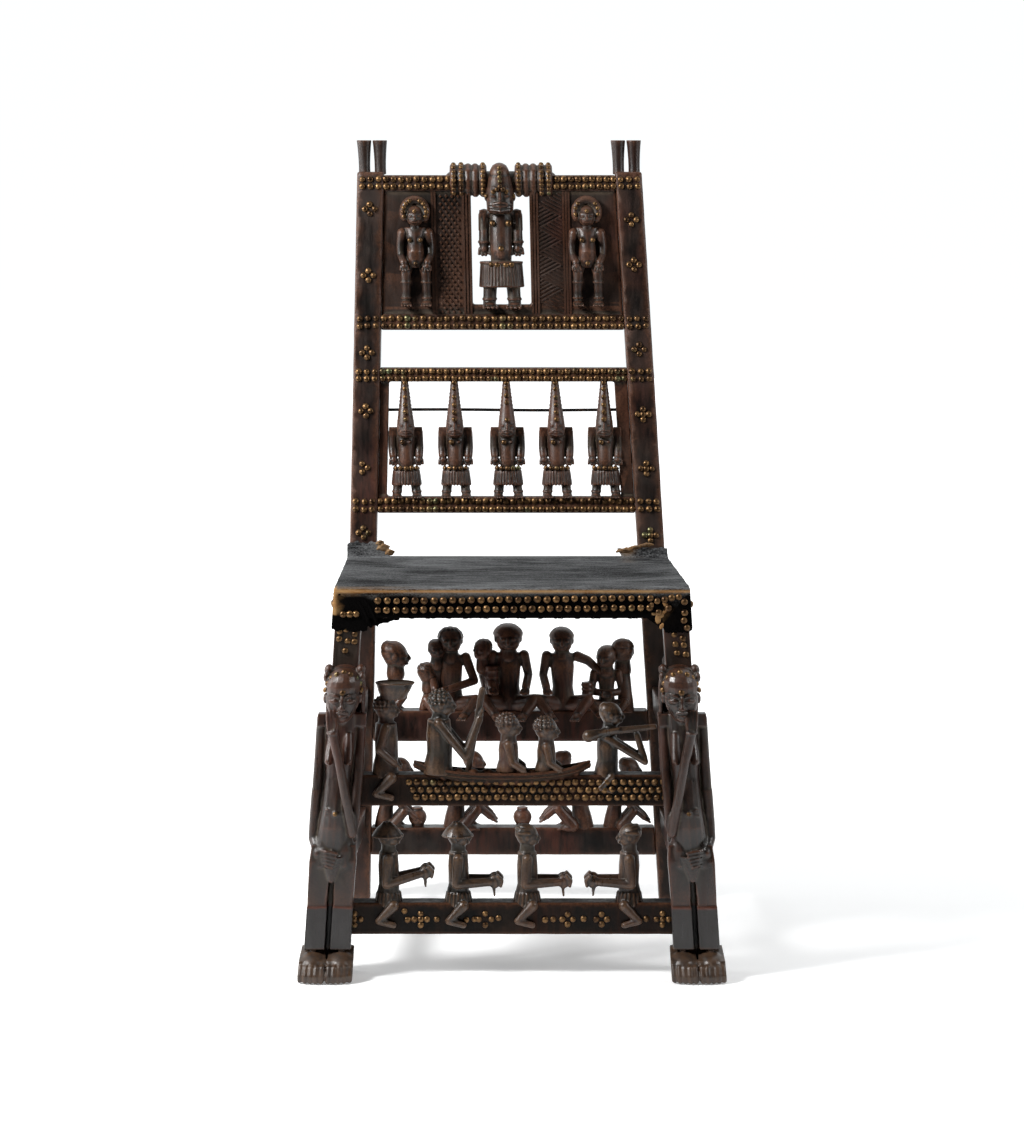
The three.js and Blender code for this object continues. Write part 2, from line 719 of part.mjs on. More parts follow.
function upperPanel(bar) {
  const face = UPPER_PANEL.inset;
  const opening = block(
    [-UPPER_WINDOW.half, face - 5, UPPER_WINDOW.bottom],
    [UPPER_WINDOW.half, face + UPPER_PANEL.thickness + 5, UPPER_WINDOW.top],
  );
  const border = (bottom) => {
    const reach = backHalfAt(bottom) - BACK_POST.width / 2 - 1;
    return block([-reach, face - 2, bottom], [reach, face + 2, bottom + UPPER_BORDER]);
  };
  const borders = [UPPER_PANEL.bottom, UPPER_PANEL.top - UPPER_BORDER].map(border);
  const ancestor = figure({ pose: "ancestor", hair: "peaked", ...ANCESTOR, at: [0, face + 3, UPPER_WINDOW.bottom - 7] });
  const high = (WING.top + WING.bottom) / 2;
  const tall = (WING.top - WING.bottom) / 2;
  const rolls = limb(
    [-1, 1].map((side) => [side * WING.half, WING.middle, high, tall]),
    8,
  );
  const wings = flattened(rolls, WING.middle, WING.depth / tall);
  const attendants = [-1, 1].flatMap((side) => {
    const at = [side * ATTENDANT.place, face - 4.5, UPPER_WINDOW.bottom - 4];
    const crown = stack(
      [
        [at[0], face, at[2] + ATTENDANT.tall + 2, 16, 5],
        [at[0], face, at[2] + ATTENDANT.tall + 22, 20, 6],
        [at[0], face, at[2] + ATTENDANT.tall + 37, 12, 5],
      ],
      6,
    );
    const { place, ...sizes } = ATTENDANT;
    return [crown, ...figure({ pose: "attendant", ...sizes, at })];
  });
  const board = union([bar.solid, ...borders]).subtract(opening);
  return inBack(union([board, ...ancestor, wings, ...attendants]));
}

// A solid made shallower in Y about a plane.
function flattened(solid, y, share) {
  const matrix = new THREE.Matrix4()
    .makeTranslation(0, y, 0)
    .multiply(new THREE.Matrix4().makeScale(1, share, 1))
    .multiply(new THREE.Matrix4().makeTranslation(0, -y, 0));
  return solid.transform(matrix.elements);
}

// The lower panel: a frame with five standing figures whose tall hats carry its upper rail.
const ROW = { places: [-122, -61, 3, 63, 123], tall: 87, chin: 0.865, head: 10 };

function lowerPanel(bar) {
  const reach = (z, side) => side * (backHalfAt(z) - BACK_POST.width / 2);
  const low = LOWER_PANEL.bottom + LOWER_SILL;
  const high = LOWER_PANEL.top - LOWER_HEAD_RAIL;
  const opening = (z) => [
    [reach(z, -1) + LOWER_SIDE.left, -20, z],
    [reach(z, 1) - LOWER_SIDE.right, -20, z],
    [reach(z, 1) - LOWER_SIDE.right, 60, z],
    [reach(z, -1) + LOWER_SIDE.left, 60, z],
  ];
  const board = bar.solid.subtract(loft([opening(low), opening(high)]));
  const { places, ...sizes } = ROW;
  const row = places.flatMap((x) =>
    figure({ pose: "skirted", hair: "conical", ...sizes, at: [x, LOWER_PANEL.inset + 5, low - 2] }),
  );
  return union([board, ...row]);
}

// The iron rod behind the five hats, with the hole that it sits in.
function backRod(grow) {
  const reach = backHalfAt(BACK_ROD.height) - BACK_POST.width / 2;
  const y = LOWER_PANEL.inset + LOWER_PANEL.thickness - BACK_ROD.radius - 2;
  const ends = [-reach + LOWER_SIDE.left - 6, reach - LOWER_SIDE.right + 6];
  const radius = BACK_ROD.radius + grow;
  return limb(
    ends.map((x, index) => [x + (index ? grow : -grow), y, BACK_ROD.height, radius]),
    8,
  );
}

// Hide over the seat

// The hide: a sheet over the rails, turned down at the front and sides and torn up against the back posts.
function hide() {
  const thick = HIDE.thickness;
  const rearY = backY(BACK_POST.depth, SEAT_REAR_HEIGHT);
  const frontY = -JOINT_GAP - thick;
  const under = { front: SEAT_FRONT_HEIGHT + JOINT_GAP, rear: SEAT_REAR_HEIGHT + JOINT_GAP };
  const kneeY = FRONT_POST.depth + JOINT_GAP;
  const edge = (side, y, z) => {
    const share = Math.max(y - kneeY, 0) / (rearY - kneeY);
    const front = side * (frontHalfAt(z) + FRONT_POST.width / 2);
    const rear = backX(side * (backHalfAt(z) + BACK_POST.width / 2), z);
    return front * (1 - share) + rear * share + side * (JOINT_GAP + thick);
  };
  const sheetRing = (y, z) => [
    [edge(-1, y, z), y, z],
    [edge(1, y, z), y, z],
    [edge(1, y, z), y, z + thick],
    [edge(-1, y, z), y, z + thick],
  ];
  const sheet = loft([sheetRing(frontY, under.front), sheetRing(kneeY, under.front), sheetRing(rearY, under.rear)]);
  const skirtRing = (low, high, from, to) => [
    [from(low), frontY, low],
    [to(low), frontY, low],
    [to(high), frontY, high],
    [from(high), frontY, high],
  ];
  const thicken = (ring) => [ring, ring.map(([x, y, z]) => [x, y + thick, z])];
  const hem = under.front + thick - HIDE.frontSkirt;
  const left = (z) => edge(-1, frontY, z);
  const right = (z) => edge(1, frontY, z);
  const skirt = loft(thicken(skirtRing(hem, under.front + 1, left, right)));
  const corners = [
    loft(thicken(skirtRing(hem - HIDE.cornerDrop, hem + 1, left, (z) => left(z) + HIDE.cornerWidth))),
    loft(thicken(skirtRing(hem - HIDE.cornerDrop, hem + 1, (z) => right(z) - HIDE.cornerWidth, right))),
  ];
  const wallRing = (side, y, top, drop) => [
    [edge(side, y, top - drop) - side * thick, y, top - drop],
    [edge(side, y, top - drop), y, top - drop],
    [edge(side, y, top + 1), y, top + 1],
    [edge(side, y, top + 1) - side * thick, y, top + 1],
  ];
  const sides = [-1, 1].flatMap((side) => [
    loft([
      wallRing(side, frontY, under.front, HIDE.sideSkirt),
      wallRing(side, kneeY, under.front, HIDE.sideSkirt),
      wallRing(side, rearY, under.rear, HIDE.sideSkirt),
    ]),
    loft([
      wallRing(side, frontY, under.front, HIDE.frontSkirt + HIDE.cornerDrop - thick),
      wallRing(side, kneeY + 4, under.front, HIDE.frontSkirt + HIDE.cornerDrop - thick),
    ]),
  ]);
  return union([sheet, skirt, ...corners, ...sides, tornCorner(-1, HIDE.tornLeft), tornCorner(1, HIDE.tornRight)]);
}

// The torn rear corner of the hide, standing up against the front of a back post.
function tornCorner(side, torn) {
  const [near, far] = [-JOINT_GAP - HIDE.thickness, -JOINT_GAP];
  const outward = side * (BACK_POST.width / 2 + JOINT_GAP + HIDE.thickness);
  const inward = side * (BACK_POST.width / 2 + torn.reach);
  const ring = (z, reach) => {
    const middle = side * backHalfAt(z);
    return [
      [middle + outward, near, z],
      [middle + outward, far, z],
      [middle - reach, far, z],
      [middle - reach, near, z],
    ];
  };
  const low = ring(SEAT_REAR_HEIGHT, inward + side * torn.slope);
  const high = ring(SEAT_REAR_HEIGHT + torn.height, inward);
  return inBack(loft([low, high]));
}

// The room that a back post needs in the hide.
function postNotch(side) {
  const half = BACK_POST.width / 2 + JOINT_GAP;
  const ring = (z) => [
    [side * backHalfAt(z) - half, -JOINT_GAP, z],
    [side * backHalfAt(z) + half, -JOINT_GAP, z],
    [side * backHalfAt(z) + half, BACK_POST.depth + 40, z],
    [side * backHalfAt(z) - half, BACK_POST.depth + 40, z],
  ];
  return inBack(loft([ring(SEAT_REAR_HEIGHT - 120), ring(SEAT_REAR_HEIGHT + 60)]));
}

// Assembly

const toMesh = (name, solid, look) => {
  const { vertProperties, triVerts } = solid.getMesh();
  const geometry = new THREE.BufferGeometry();
  geometry.setAttribute("position", new THREE.BufferAttribute(new Float32Array(vertProperties), 3));
  geometry.setIndex(new THREE.BufferAttribute(new Uint32Array(triVerts), 1));
  const shaded = geometry.toNonIndexed();
  shaded.computeVertexNormals();
  const mesh = new THREE.Mesh(shaded, new THREE.MeshStandardMaterial(look));
  mesh.name = name;
  return mesh;
};

const bars = {
  maskedRung: frontBar(FRONT_RUNG_LOW),
  canoeRung: frontBar(FRONT_RUNG_MIDDLE),
  frontRail: frontBar({ bottom: SEAT_FRONT_HEIGHT - RAIL.height, height: RAIL.height, thickness: RAIL.thickness }),
  workersRung: backBar(REAR_RUNG_LOW),
  councilRung: backBar(REAR_RUNG_HIGH),
  rearRail: backBar({ bottom: SEAT_REAR_HEIGHT - RAIL.height, height: RAIL.height, thickness: RAIL.thickness }),
  lowerPanel: panelBar(LOWER_PANEL),
  upperPanel: panelBar(UPPER_PANEL),
};
const sideRails = [-1, 1].map((side) =>
  sideBar(side, {
    bottom: SEAT_FRONT_HEIGHT - RAIL.drop,
    height: RAIL.height,
    thickness: FRONT_POST.width - 2,
    rearDrop: SEAT_FRONT_HEIGHT - SEAT_REAR_HEIGHT,
  }),
);
const sideRungs = [-1, 1].map((side) => ({
  low: sideRung(side, SIDE_RUNG_LOW, 46),
  middle: sideRung(side, SIDE_RUNG_MIDDLE, 48),
}));

const throne = new THREE.Group();
const frontFrame = new THREE.Group();
const backFrame = new THREE.Group();
const sideFrames = new THREE.Group();
throne.add(frontFrame, backFrame, sideFrames);

const frontBars = [bars.maskedRung, bars.canoeRung, bars.frontRail];
const frontCuts = frontBars.flatMap((bar) => [bar.sockets, bar.housing]);
const backBars = [bars.workersRung, bars.councilRung, bars.rearRail, bars.lowerPanel, bars.upperPanel];
const backCuts = backBars.map((bar) => inBack(bar.sockets));
for (const [index, label] of ["left", "right"].entries()) {
  const side = index ? 1 : -1;
  const { low, middle } = sideRungs[index];
  const sideCuts = [low.sockets, middle.sockets, sideRails[index].sockets];
  frontFrame.add(toMesh(`front_leg_${label}`, frontLeg(side, [...frontCuts, ...sideCuts]), WOOD));
  backFrame.add(toMesh(`back_post_${label}`, backPost(side, [...backCuts, ...sideCuts]), WOOD));
  sideFrames.add(toMesh(`side_rung_low_${label}`, low.solid, WOOD));
  sideFrames.add(toMesh(`side_rung_middle_${label}`, middle.solid, WOOD));
  sideFrames.add(toMesh(`seat_rail_${label}`, sideRails[index].solid, WOOD));
}
frontFrame.add(toMesh("rung_masked_figures", maskedRung(bars.maskedRung), PALE_WOOD));
frontFrame.add(toMesh("rung_canoe", canoeRung(bars.canoeRung), PALE_WOOD));
frontFrame.add(toMesh("seat_rail_front", bars.frontRail.solid, WOOD));
backFrame.add(toMesh("rung_council", councilRung(bars.councilRung), WOOD));
backFrame.add(toMesh("rung_workers", workersRung(bars.workersRung), WOOD));
backFrame.add(toMesh("seat_rail_rear", inBack(bars.rearRail.solid), WOOD));
backFrame.add(toMesh("back_panel_upper", upperPanel(bars.upperPanel), WOOD));
const rowPanel = lowerPanel(bars.lowerPanel).subtract(backRod(JOINT_GAP));
backFrame.add(toMesh("back_panel_lower", inBack(rowPanel), WOOD));
backFrame.add(toMesh("back_rod", inBack(backRod(0)), IRON));
const seatHide = [-1, 1].reduce((solid, side) => solid.subtract(postNotch(side)), hide());
throne.add(toMesh("seat_hide", seatHide, LEATHER));

// The finished throne stands with the middle of its base at the origin.
const bounds = new THREE.Box3().setFromObject(throne);
const middle = bounds.getCenter(new THREE.Vector3());
throne.position.set(-middle.x, -middle.y, -bounds.min.z);

export default throne;
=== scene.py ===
"""Looks of the carved throne: its figures, panels, tacks, hide, finishes, light and camera.

Sizes are millimetres in the throne's own frame, in which the front posts' front faces are at y = 0 and the
floor is at z = 0. The back's pieces are made upright and sheared into the leaning back, as the solids are.
"""

import logging
import math
import random
from dataclasses import dataclass, field
from enum import Enum
from typing import Iterable, Sequence

import bpy
import numpy as np
from mathutils import Euler, Matrix, Vector


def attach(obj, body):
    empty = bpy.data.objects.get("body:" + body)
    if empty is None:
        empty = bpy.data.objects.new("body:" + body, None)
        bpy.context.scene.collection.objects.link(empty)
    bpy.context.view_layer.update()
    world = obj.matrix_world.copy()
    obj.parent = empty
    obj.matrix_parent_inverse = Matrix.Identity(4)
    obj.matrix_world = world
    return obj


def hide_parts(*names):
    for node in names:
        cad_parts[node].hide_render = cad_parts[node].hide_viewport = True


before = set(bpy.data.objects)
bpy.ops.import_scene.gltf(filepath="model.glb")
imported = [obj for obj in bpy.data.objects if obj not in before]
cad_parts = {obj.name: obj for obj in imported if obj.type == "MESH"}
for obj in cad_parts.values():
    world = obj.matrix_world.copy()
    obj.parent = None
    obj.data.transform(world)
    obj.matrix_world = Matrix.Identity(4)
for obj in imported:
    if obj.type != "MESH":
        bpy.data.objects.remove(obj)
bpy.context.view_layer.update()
LOG = logging.getLogger("throne")

Point = Sequence[float]
Row = Sequence[float]

# Sizes of the frame, as in the solids
CENTRE_Y = 235.585
MIDDLE = 14.0
SEAT_FRONT, SEAT_REAR = 434.0, 414.0
BACK_HEIGHT, FINIAL = 888.0, 39.0
DEPTH, RECLINE = 360.0, 0.14
FRONT_HALF, FRONT_SPLAY = 208.0, 0.0675
BACK_HALF, BACK_TAPER = 194.0, 0.04
BACK_SHIFT, BACK_LEAN = 3.0, -0.0208
FRONT_POST, BACK_POST = (29.0, 28.0), (33.0, 28.0)
GAP = 0.3


def front_half(z: float) -> float:
    """Distance of a front leg's axis from the middle, at height z."""
    return FRONT_HALF - FRONT_SPLAY * z


def back_half(z: float) -> float:
    """Distance of a back post's axis from the back's middle, at height z."""
    return BACK_HALF - BACK_TAPER * z


def panel_half(z: float) -> float:
    """Half the width that is free between the back posts, at height z."""
    return back_half(z) - BACK_POST[0] / 2 - GAP


class Stance(Enum):
    """Where a piece that is made upright goes: the front frame, a leg of it, or the leaning back."""

    FRONT = 0
    LEG_LEFT = -1
    LEG_RIGHT = 1
    BACK = 2

    def matrix(self) -> Matrix:
        """Matrix from the piece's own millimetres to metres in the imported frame."""
        home = Matrix.Translation((0, -CENTRE_Y / 1000, 0)) @ Matrix.Scale(0.001, 4)
        if self is Stance.BACK:
            lean = Matrix(((1, 0, BACK_LEAN, BACK_SHIFT), (0, 1, RECLINE, DEPTH), (0, 0, 1, 0), (0, 0, 0, 1)))
            return home @ lean
        if self in (Stance.LEG_LEFT, Stance.LEG_RIGHT):
            side = self.value
            across = (1, 0, -side * FRONT_SPLAY, side * FRONT_HALF)
            splay = Matrix((across, (0, 1, 0, 0), (0, 0, 1, 0), (0, 0, 0, 1)))
            return home @ splay @ Matrix.Diagonal((-side, 1, 1, 1))
        return home


class Bench:
    """The modelling bench: picking, primitives, modifiers and placing."""

    shapes: dict[str, bpy.types.Mesh] = {}

    @staticmethod
    def pick(*objs: bpy.types.Object) -> None:
        """Selects these objects alone, with the first one active."""
        bpy.ops.object.select_all(action="DESELECT")
        for obj in objs:
            obj.select_set(True)
        if objs:
            bpy.context.view_layer.objects.active = objs[0]

    @classmethod
    def shape(cls, kind: str) -> bpy.types.Mesh:
        """A primitive of unit size that lumps are copied from, made once.

        Args:
            kind: ball, drum, slab or tack.

        Returns:
            The primitive's mesh.
        """
        if kind in cls.shapes:
            return cls.shapes[kind]
        bpy.ops.object.select_all(action="DESELECT")
        if kind == "ball":
            bpy.ops.mesh.primitive_uv_sphere_add(segments=16, ring_count=10, radius=1)
        elif kind == "drum":
            bpy.ops.mesh.primitive_cylinder_add(vertices=16, radius=1, depth=1)
        elif kind == "slab":
            bpy.ops.mesh.primitive_cube_add(size=1)
        else:
            bpy.ops.mesh.primitive_uv_sphere_add(segments=12, ring_count=10, radius=1)
            cls.dome()
        made = bpy.context.object
        mesh = made.data.copy()
        bpy.data.objects.remove(made)
        cls.shapes[kind] = mesh
        return mesh

    @staticmethod
    def dome() -> None:
        """Cuts the active ball to a tack's dome, with a flat underside, and flattens the dome."""
        bpy.ops.object.mode_set(mode="EDIT")
        bpy.ops.mesh.select_all(action="SELECT")
        bpy.ops.mesh.bisect(plane_co=(0, 0, 0.05), plane_no=(0, 0, 1), clear_inner=True, use_fill=True)
        bpy.ops.mesh.select_all(action="SELECT")
        bpy.ops.transform.resize(value=(1, 1, 0.72))
        bpy.ops.object.mode_set(mode="OBJECT")

    @staticmethod
    def modify(obj: bpy.types.Object, kind: str, **settings: object) -> None:
        """Adds a modifier with these settings and applies it."""
        Bench.pick(obj)
        modifier = obj.modifiers.new(kind.title(), kind)
        for name, value in settings.items():
            setattr(modifier, name, value)
        bpy.ops.object.modifier_apply(modifier=modifier.name)

    @staticmethod
    def join(parts: Sequence[bpy.types.Object], name: str) -> bpy.types.Object:
        """Joins parts into one object of this name."""
        Bench.pick(*parts)
        if len(parts) > 1:
            bpy.ops.object.join()
        made = parts[0]
        made.name = made.data.name = name
        return made

    @staticmethod
    def place(obj: bpy.types.Object, matrix: Matrix) -> bpy.types.Object:
        """Moves a mesh by a matrix that may mirror it, and keeps its object at the origin."""
        obj.data.transform(matrix)
        if matrix.determinant() < 0:
            obj.data.flip_normals()
        obj.data.update()
        return obj

    @staticmethod
    def smooth(obj: bpy.types.Object, angle: float) -> None:
        """Shades a mesh smooth where its faces meet at less than an angle in degrees."""
        Bench.pick(obj)
        bpy.ops.object.shade_smooth_by_angle(angle=math.radians(angle))

    @staticmethod
    def hewn(name: str, corners: Sequence[Point], edge: float = 1.2, rough: float = 0.5) -> bpy.types.Object:
        """A hand-hewn board: a cube with its corners set, cut finer, its edges worn round.

        Args:
            name: The object's name.
            corners: Eight corners: the low four round the section, then the high four above them.
            edge: Width of the worn edges in millimetres.
            rough: How far the tool left the faces uneven, in millimetres.

        Returns:
            The board, still in millimetres.
        """
        bpy.ops.object.select_all(action="DESELECT")
        bpy.ops.mesh.primitive_cube_add(size=2)
        board = bpy.context.object
        board.name = board.data.name = name
        for vertex in board.data.vertices:
            x, y, z = vertex.co
            around = {(-1, -1): 0, (1, -1): 1, (1, 1): 2, (-1, 1): 3}[(round(x), round(y))]
            vertex.co = corners[around + (4 if z > 0 else 0)]
        Bench.modify(board, "BEVEL", width=edge, segments=2)
        Bench.modify(board, "REMESH", mode="VOXEL", voxel_size=Bench.grain(corners))
        grain = bpy.data.textures.new(name + "_hewing", "CLOUDS")
        grain.noise_scale = 22
        Bench.modify(board, "DISPLACE", texture=grain, strength=rough, mid_level=0.5, texture_coords="LOCAL")
        Bench.modify(board, "DECIMATE", decimate_type="COLLAPSE", ratio=0.22)
        bpy.ops.object.shade_smooth()
        return board

    @staticmethod
    def grain(corners: Sequence[Point]) -> float:
        """A remeshing step that suits a board of this size."""
        spans = [max(c[axis] for c in corners) - min(c[axis] for c in corners) for axis in range(3)]
        return 1.6 if max(spans) < 500 else 2.2

    @staticmethod
    def wear(obj: bpy.types.Object, reach: int = 10, depth: float = 0.45) -> None:
        """Notes on each vertex how far it lies in a hollow or stands on a ridge.

        Args:
            obj: A fine mesh in metres.
            reach: Steps over which the surface is evened out to find its surroundings.
            depth: Millimetres above or below the surroundings that count as fully worn or filled.
        """
        mesh = obj.data
        count = len(mesh.vertices)
        points, normals = Bench.read(mesh, "co"), Bench.read(mesh, "normal")
        edges = np.empty(len(mesh.edges) * 2, dtype=np.int32)
        mesh.edges.foreach_get("vertices", edges)
        a, b = edges.reshape(-1, 2).T
        around = np.maximum(np.bincount(edges, minlength=count), 1)
        even = points.copy()
        for _ in range(reach):
            for axis in range(3):
                near = np.bincount(a, even[b, axis], count) + np.bincount(b, even[a, axis], count)
                even[:, axis] = (even[:, axis] + near / around) / 2
        sunk = ((even - points) * normals).sum(axis=1) * 1000 / depth
        Bench.note(obj, "hollow", sunk)
        Bench.note(obj, "ridge", -sunk)

    @staticmethod
    def read(mesh: bpy.types.Mesh, name: str) -> np.ndarray:
        """Reads co or normal of all vertices, one row each."""
        values = np.empty(len(mesh.vertices) * 3)
        mesh.vertices.foreach_get(name, values)
        return values.reshape(-1, 3)

    @staticmethod
    def note(obj: bpy.types.Object, name: str, values: np.ndarray) -> None:
        """Notes one value from 0 to 1 on each vertex, for the materials."""
        layer = obj.data.attributes.new(name, "FLOAT", "POINT")
        layer.data.foreach_set("value", np.clip(values, 0, 1).astype(np.float32))

    @staticmethod
    def hew(
        name: str, corners: Sequence[Point], stance: Stance, material: bpy.types.Material, node: str,
    ) -> None:
        """Hews a board and dresses it in place of its solid.

        Args:
            name: The piece's name.
            corners: Its eight corners, as hewn takes them.
            stance: Where it goes.
            material: Its finish.
            node: The solid that it stands for.
        """
        board = Bench.place(Bench.hewn(name, corners), stance.matrix())
        Bench.wear(board, 6, 0.9)
        Bench.dress(board, material, node)

    @staticmethod
    def dress(obj: bpy.types.Object, material: bpy.types.Material, node: str = "") -> bpy.types.Object:
        """Gives a finished piece its material and body, and reports it.

        Args:
            obj: The piece, in metres.
            material: Its finish.
            node: The solid that it stands for, if any.

        Returns:
            The piece.
        """
        obj.data.materials.clear()
        obj.data.materials.append(material)
        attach(obj, "root")
        if node:
            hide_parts(node)
        LOG.info("%s: %d faces", obj.name, len(obj.data.polygons))
        return obj


class Carving:
    """Lumps of wood laid over each other and then fused into one carved surface."""

    def __init__(self) -> None:
        """Starts with no lumps, in the carving's own millimetres."""
        self.lumps: list[bpy.types.Object] = []
        self.base = Matrix.Identity(4)

    def lay(self, mesh: bpy.types.Mesh, matrix: Matrix) -> None:
        """Lays a copy of a mesh, placed by a matrix, over the others."""
        matrix = self.base @ matrix
        mesh = mesh.copy()
        mesh.transform(matrix)
        if matrix.determinant() < 0:
            mesh.flip_normals()
        lump = bpy.data.objects.new("lump", mesh)
        bpy.context.collection.objects.link(lump)
        self.lumps.append(lump)

    def ball(self, at: Point, radii: Point, turn: Point = (0, 0, 0)) -> None:
        """Lays an egg-shaped lump at a point, turned by degrees about x, y and z."""
        spin = Euler([math.radians(v) for v in turn]).to_matrix().to_4x4()
        self.lay(Bench.shape("ball"), Matrix.Translation(at) @ spin @ Matrix.Diagonal((*radii, 1)))

    def pair(self, at: Point, radii: Point, turn: Point = (0, 0, 0)) -> None:
        """Lays a lump and its mirror image on the other side."""
        self.ball(at, radii, turn)
        self.ball((-at[0], at[1], at[2]), radii, (turn[0], -turn[1], -turn[2]))

    def slab(self, low: Point, high: Point) -> None:
        """Lays a box between two corners."""
        middle = (Vector(low) + Vector(high)) / 2
        size = Vector(high) - Vector(low)
        self.lay(Bench.shape("slab"), Matrix.Translation(middle) @ Matrix.Diagonal((*size, 1)))

    def block(self, low: Row, high: Row) -> None:
        """Lays a tapered block between two levels, each its height, left, right, front and rear."""
        mesh = Bench.shape("slab").copy()
        for vertex in mesh.vertices:
            z, left, right, near, far = high if vertex.co.z > 0 else low
            vertex.co = (right if vertex.co.x > 0 else left, far if vertex.co.y > 0 else near, z)
        self.lay(mesh, Matrix.Identity(4))
        bpy.data.meshes.remove(mesh)

    def tower(self, rows: Sequence[Row]) -> None:
        """Lays blocks through a column of levels."""
        for low, high in zip(rows, rows[1:]):
            self.block(low, high)

    def drum(self, low: Row, high: Row) -> None:
        """Lays a tapered drum between two level ovals, each x, y, z, half width and half depth."""
        mesh = Bench.shape("drum").copy()
        for vertex in mesh.vertices:
            x, y, z, wide, deep = high if vertex.co.z > 0 else low
            vertex.co = (x + vertex.co.x * wide, y + vertex.co.y * deep, z)
        self.lay(mesh, Matrix.Identity(4))
        bpy.data.meshes.remove(mesh)

    def stack(self, rows: Sequence[Row]) -> None:
        """Lays drums through a column of level ovals."""
        for low, high in zip(rows, rows[1:]):
            self.drum(low, high)

    def limb(self, points: Sequence[Row], flat: float = 1.0) -> None:
        """Lays a round tube with rounded joints through points x, y, z and radius.

        Args:
            points: The joints from one end to the other.
            flat: How thick the tube is in its second direction, as a share of its width.
        """
        for start, end in zip(points, points[1:]):
            a, b = Vector(start[:3]), Vector(end[:3])
            along = b - a
            if along.length < 0.01:
                continue
            mesh = Bench.shape("drum").copy()
            for vertex in mesh.vertices:
                radius = end[3] if vertex.co.z > 0 else start[3]
                vertex.co = (
                    vertex.co.x * radius, vertex.co.y * radius * flat, (vertex.co.z + 0.5) * along.length,
                )
            turn = along.to_track_quat("Z", "Y").to_matrix().to_4x4()
            self.lay(mesh, Matrix.Translation(a) @ turn)
            bpy.data.meshes.remove(mesh)
        for x, y, z, radius in points:
            self.ball((x, y, z), (radius,) * 3)

    def limbs(self, points: Sequence[Row], flat: float = 1.0) -> None:
        """Lays a limb on the right and its mirror image on the left."""
        for side in (-1, 1):
            self.limb([(side * x, y, z, radius) for x, y, z, radius in points], flat)

    def bow(self, wide: float, end: Row, middle: Row) -> None:
        """Lays a bowed bar across the middle; its ends and its middle are y, z and radius."""
        self.limb([(-wide, *end), (0, *middle), (wide, *end)])

    def fringe(self, count: int, high: Row, low: Row) -> None:
        """Lays pleats all round, from an upper to a lower oval: half width, half depth, z and radius."""
        for step in range(count):
            angle = 2 * math.pi * step / count
            x, y = math.cos(angle), math.sin(angle)
            self.limb([(wide * x, deep * y, z, radius) for wide, deep, z, radius in (high, low)])

    def hoop(
        self, at: Point, wide: float, deep: float, thick: float, tilt: float = 0, parts: int = 12,
    ) -> None:
        """Lays a ring of short rods, for a band, a belt or a ridge of hair.

        Args:
            at: The ring's middle.
            wide: Half width.
            deep: Half depth.
            thick: Radius of the rod.
            tilt: Degrees that its front is turned up.
            parts: Number of rods.
        """
        turn = Matrix.Rotation(math.radians(-tilt), 3, "X")
        ring = []
        for step in range(parts + 1):
            angle = 2 * math.pi * step / parts
            point = Vector(at) + turn @ Vector((wide * math.cos(angle), deep * math.sin(angle), 0))
            ring.append((*point, thick))
        self.limb(ring)

    def fuse(
        self, name: str, stance: Stance, voxel: float = 0.9, keep: float = 0.3, soften: int = 2,
    ) -> bpy.types.Object:
        """Fuses the lumps into one surface and puts it in its place.

        Args:
            name: The finished object's name.
            stance: Where the carving goes.
            voxel: Size of the finest detail kept, in millimetres.
            keep: Share of the faces that is kept.
            soften: Passes that soften the tool marks.

        Returns:
            The carving in metres, with its wear noted.
        """
        made = Bench.join(self.lumps, name)
        Bench.modify(made, "REMESH", mode="VOXEL", voxel_size=voxel)
        Bench.modify(made, "SMOOTH", factor=0.5, iterations=soften)
        Bench.modify(made, "DECIMATE", decimate_type="COLLAPSE", ratio=keep)
        Bench.place(made, stance.matrix())
        Bench.wear(made)
        Bench.pick(made)
        bpy.ops.object.shade_smooth()
        self.lumps = []
        return made

    def finish(self, name: str, stance: Stance, material: bpy.types.Material, *fineness: float,
               node: str = "") -> bpy.types.Object:
        """Fuses the lumps and dresses them; fineness is what fuse takes after the stance."""
        return Bench.dress(self.fuse(name, stance, *fineness), material, node)


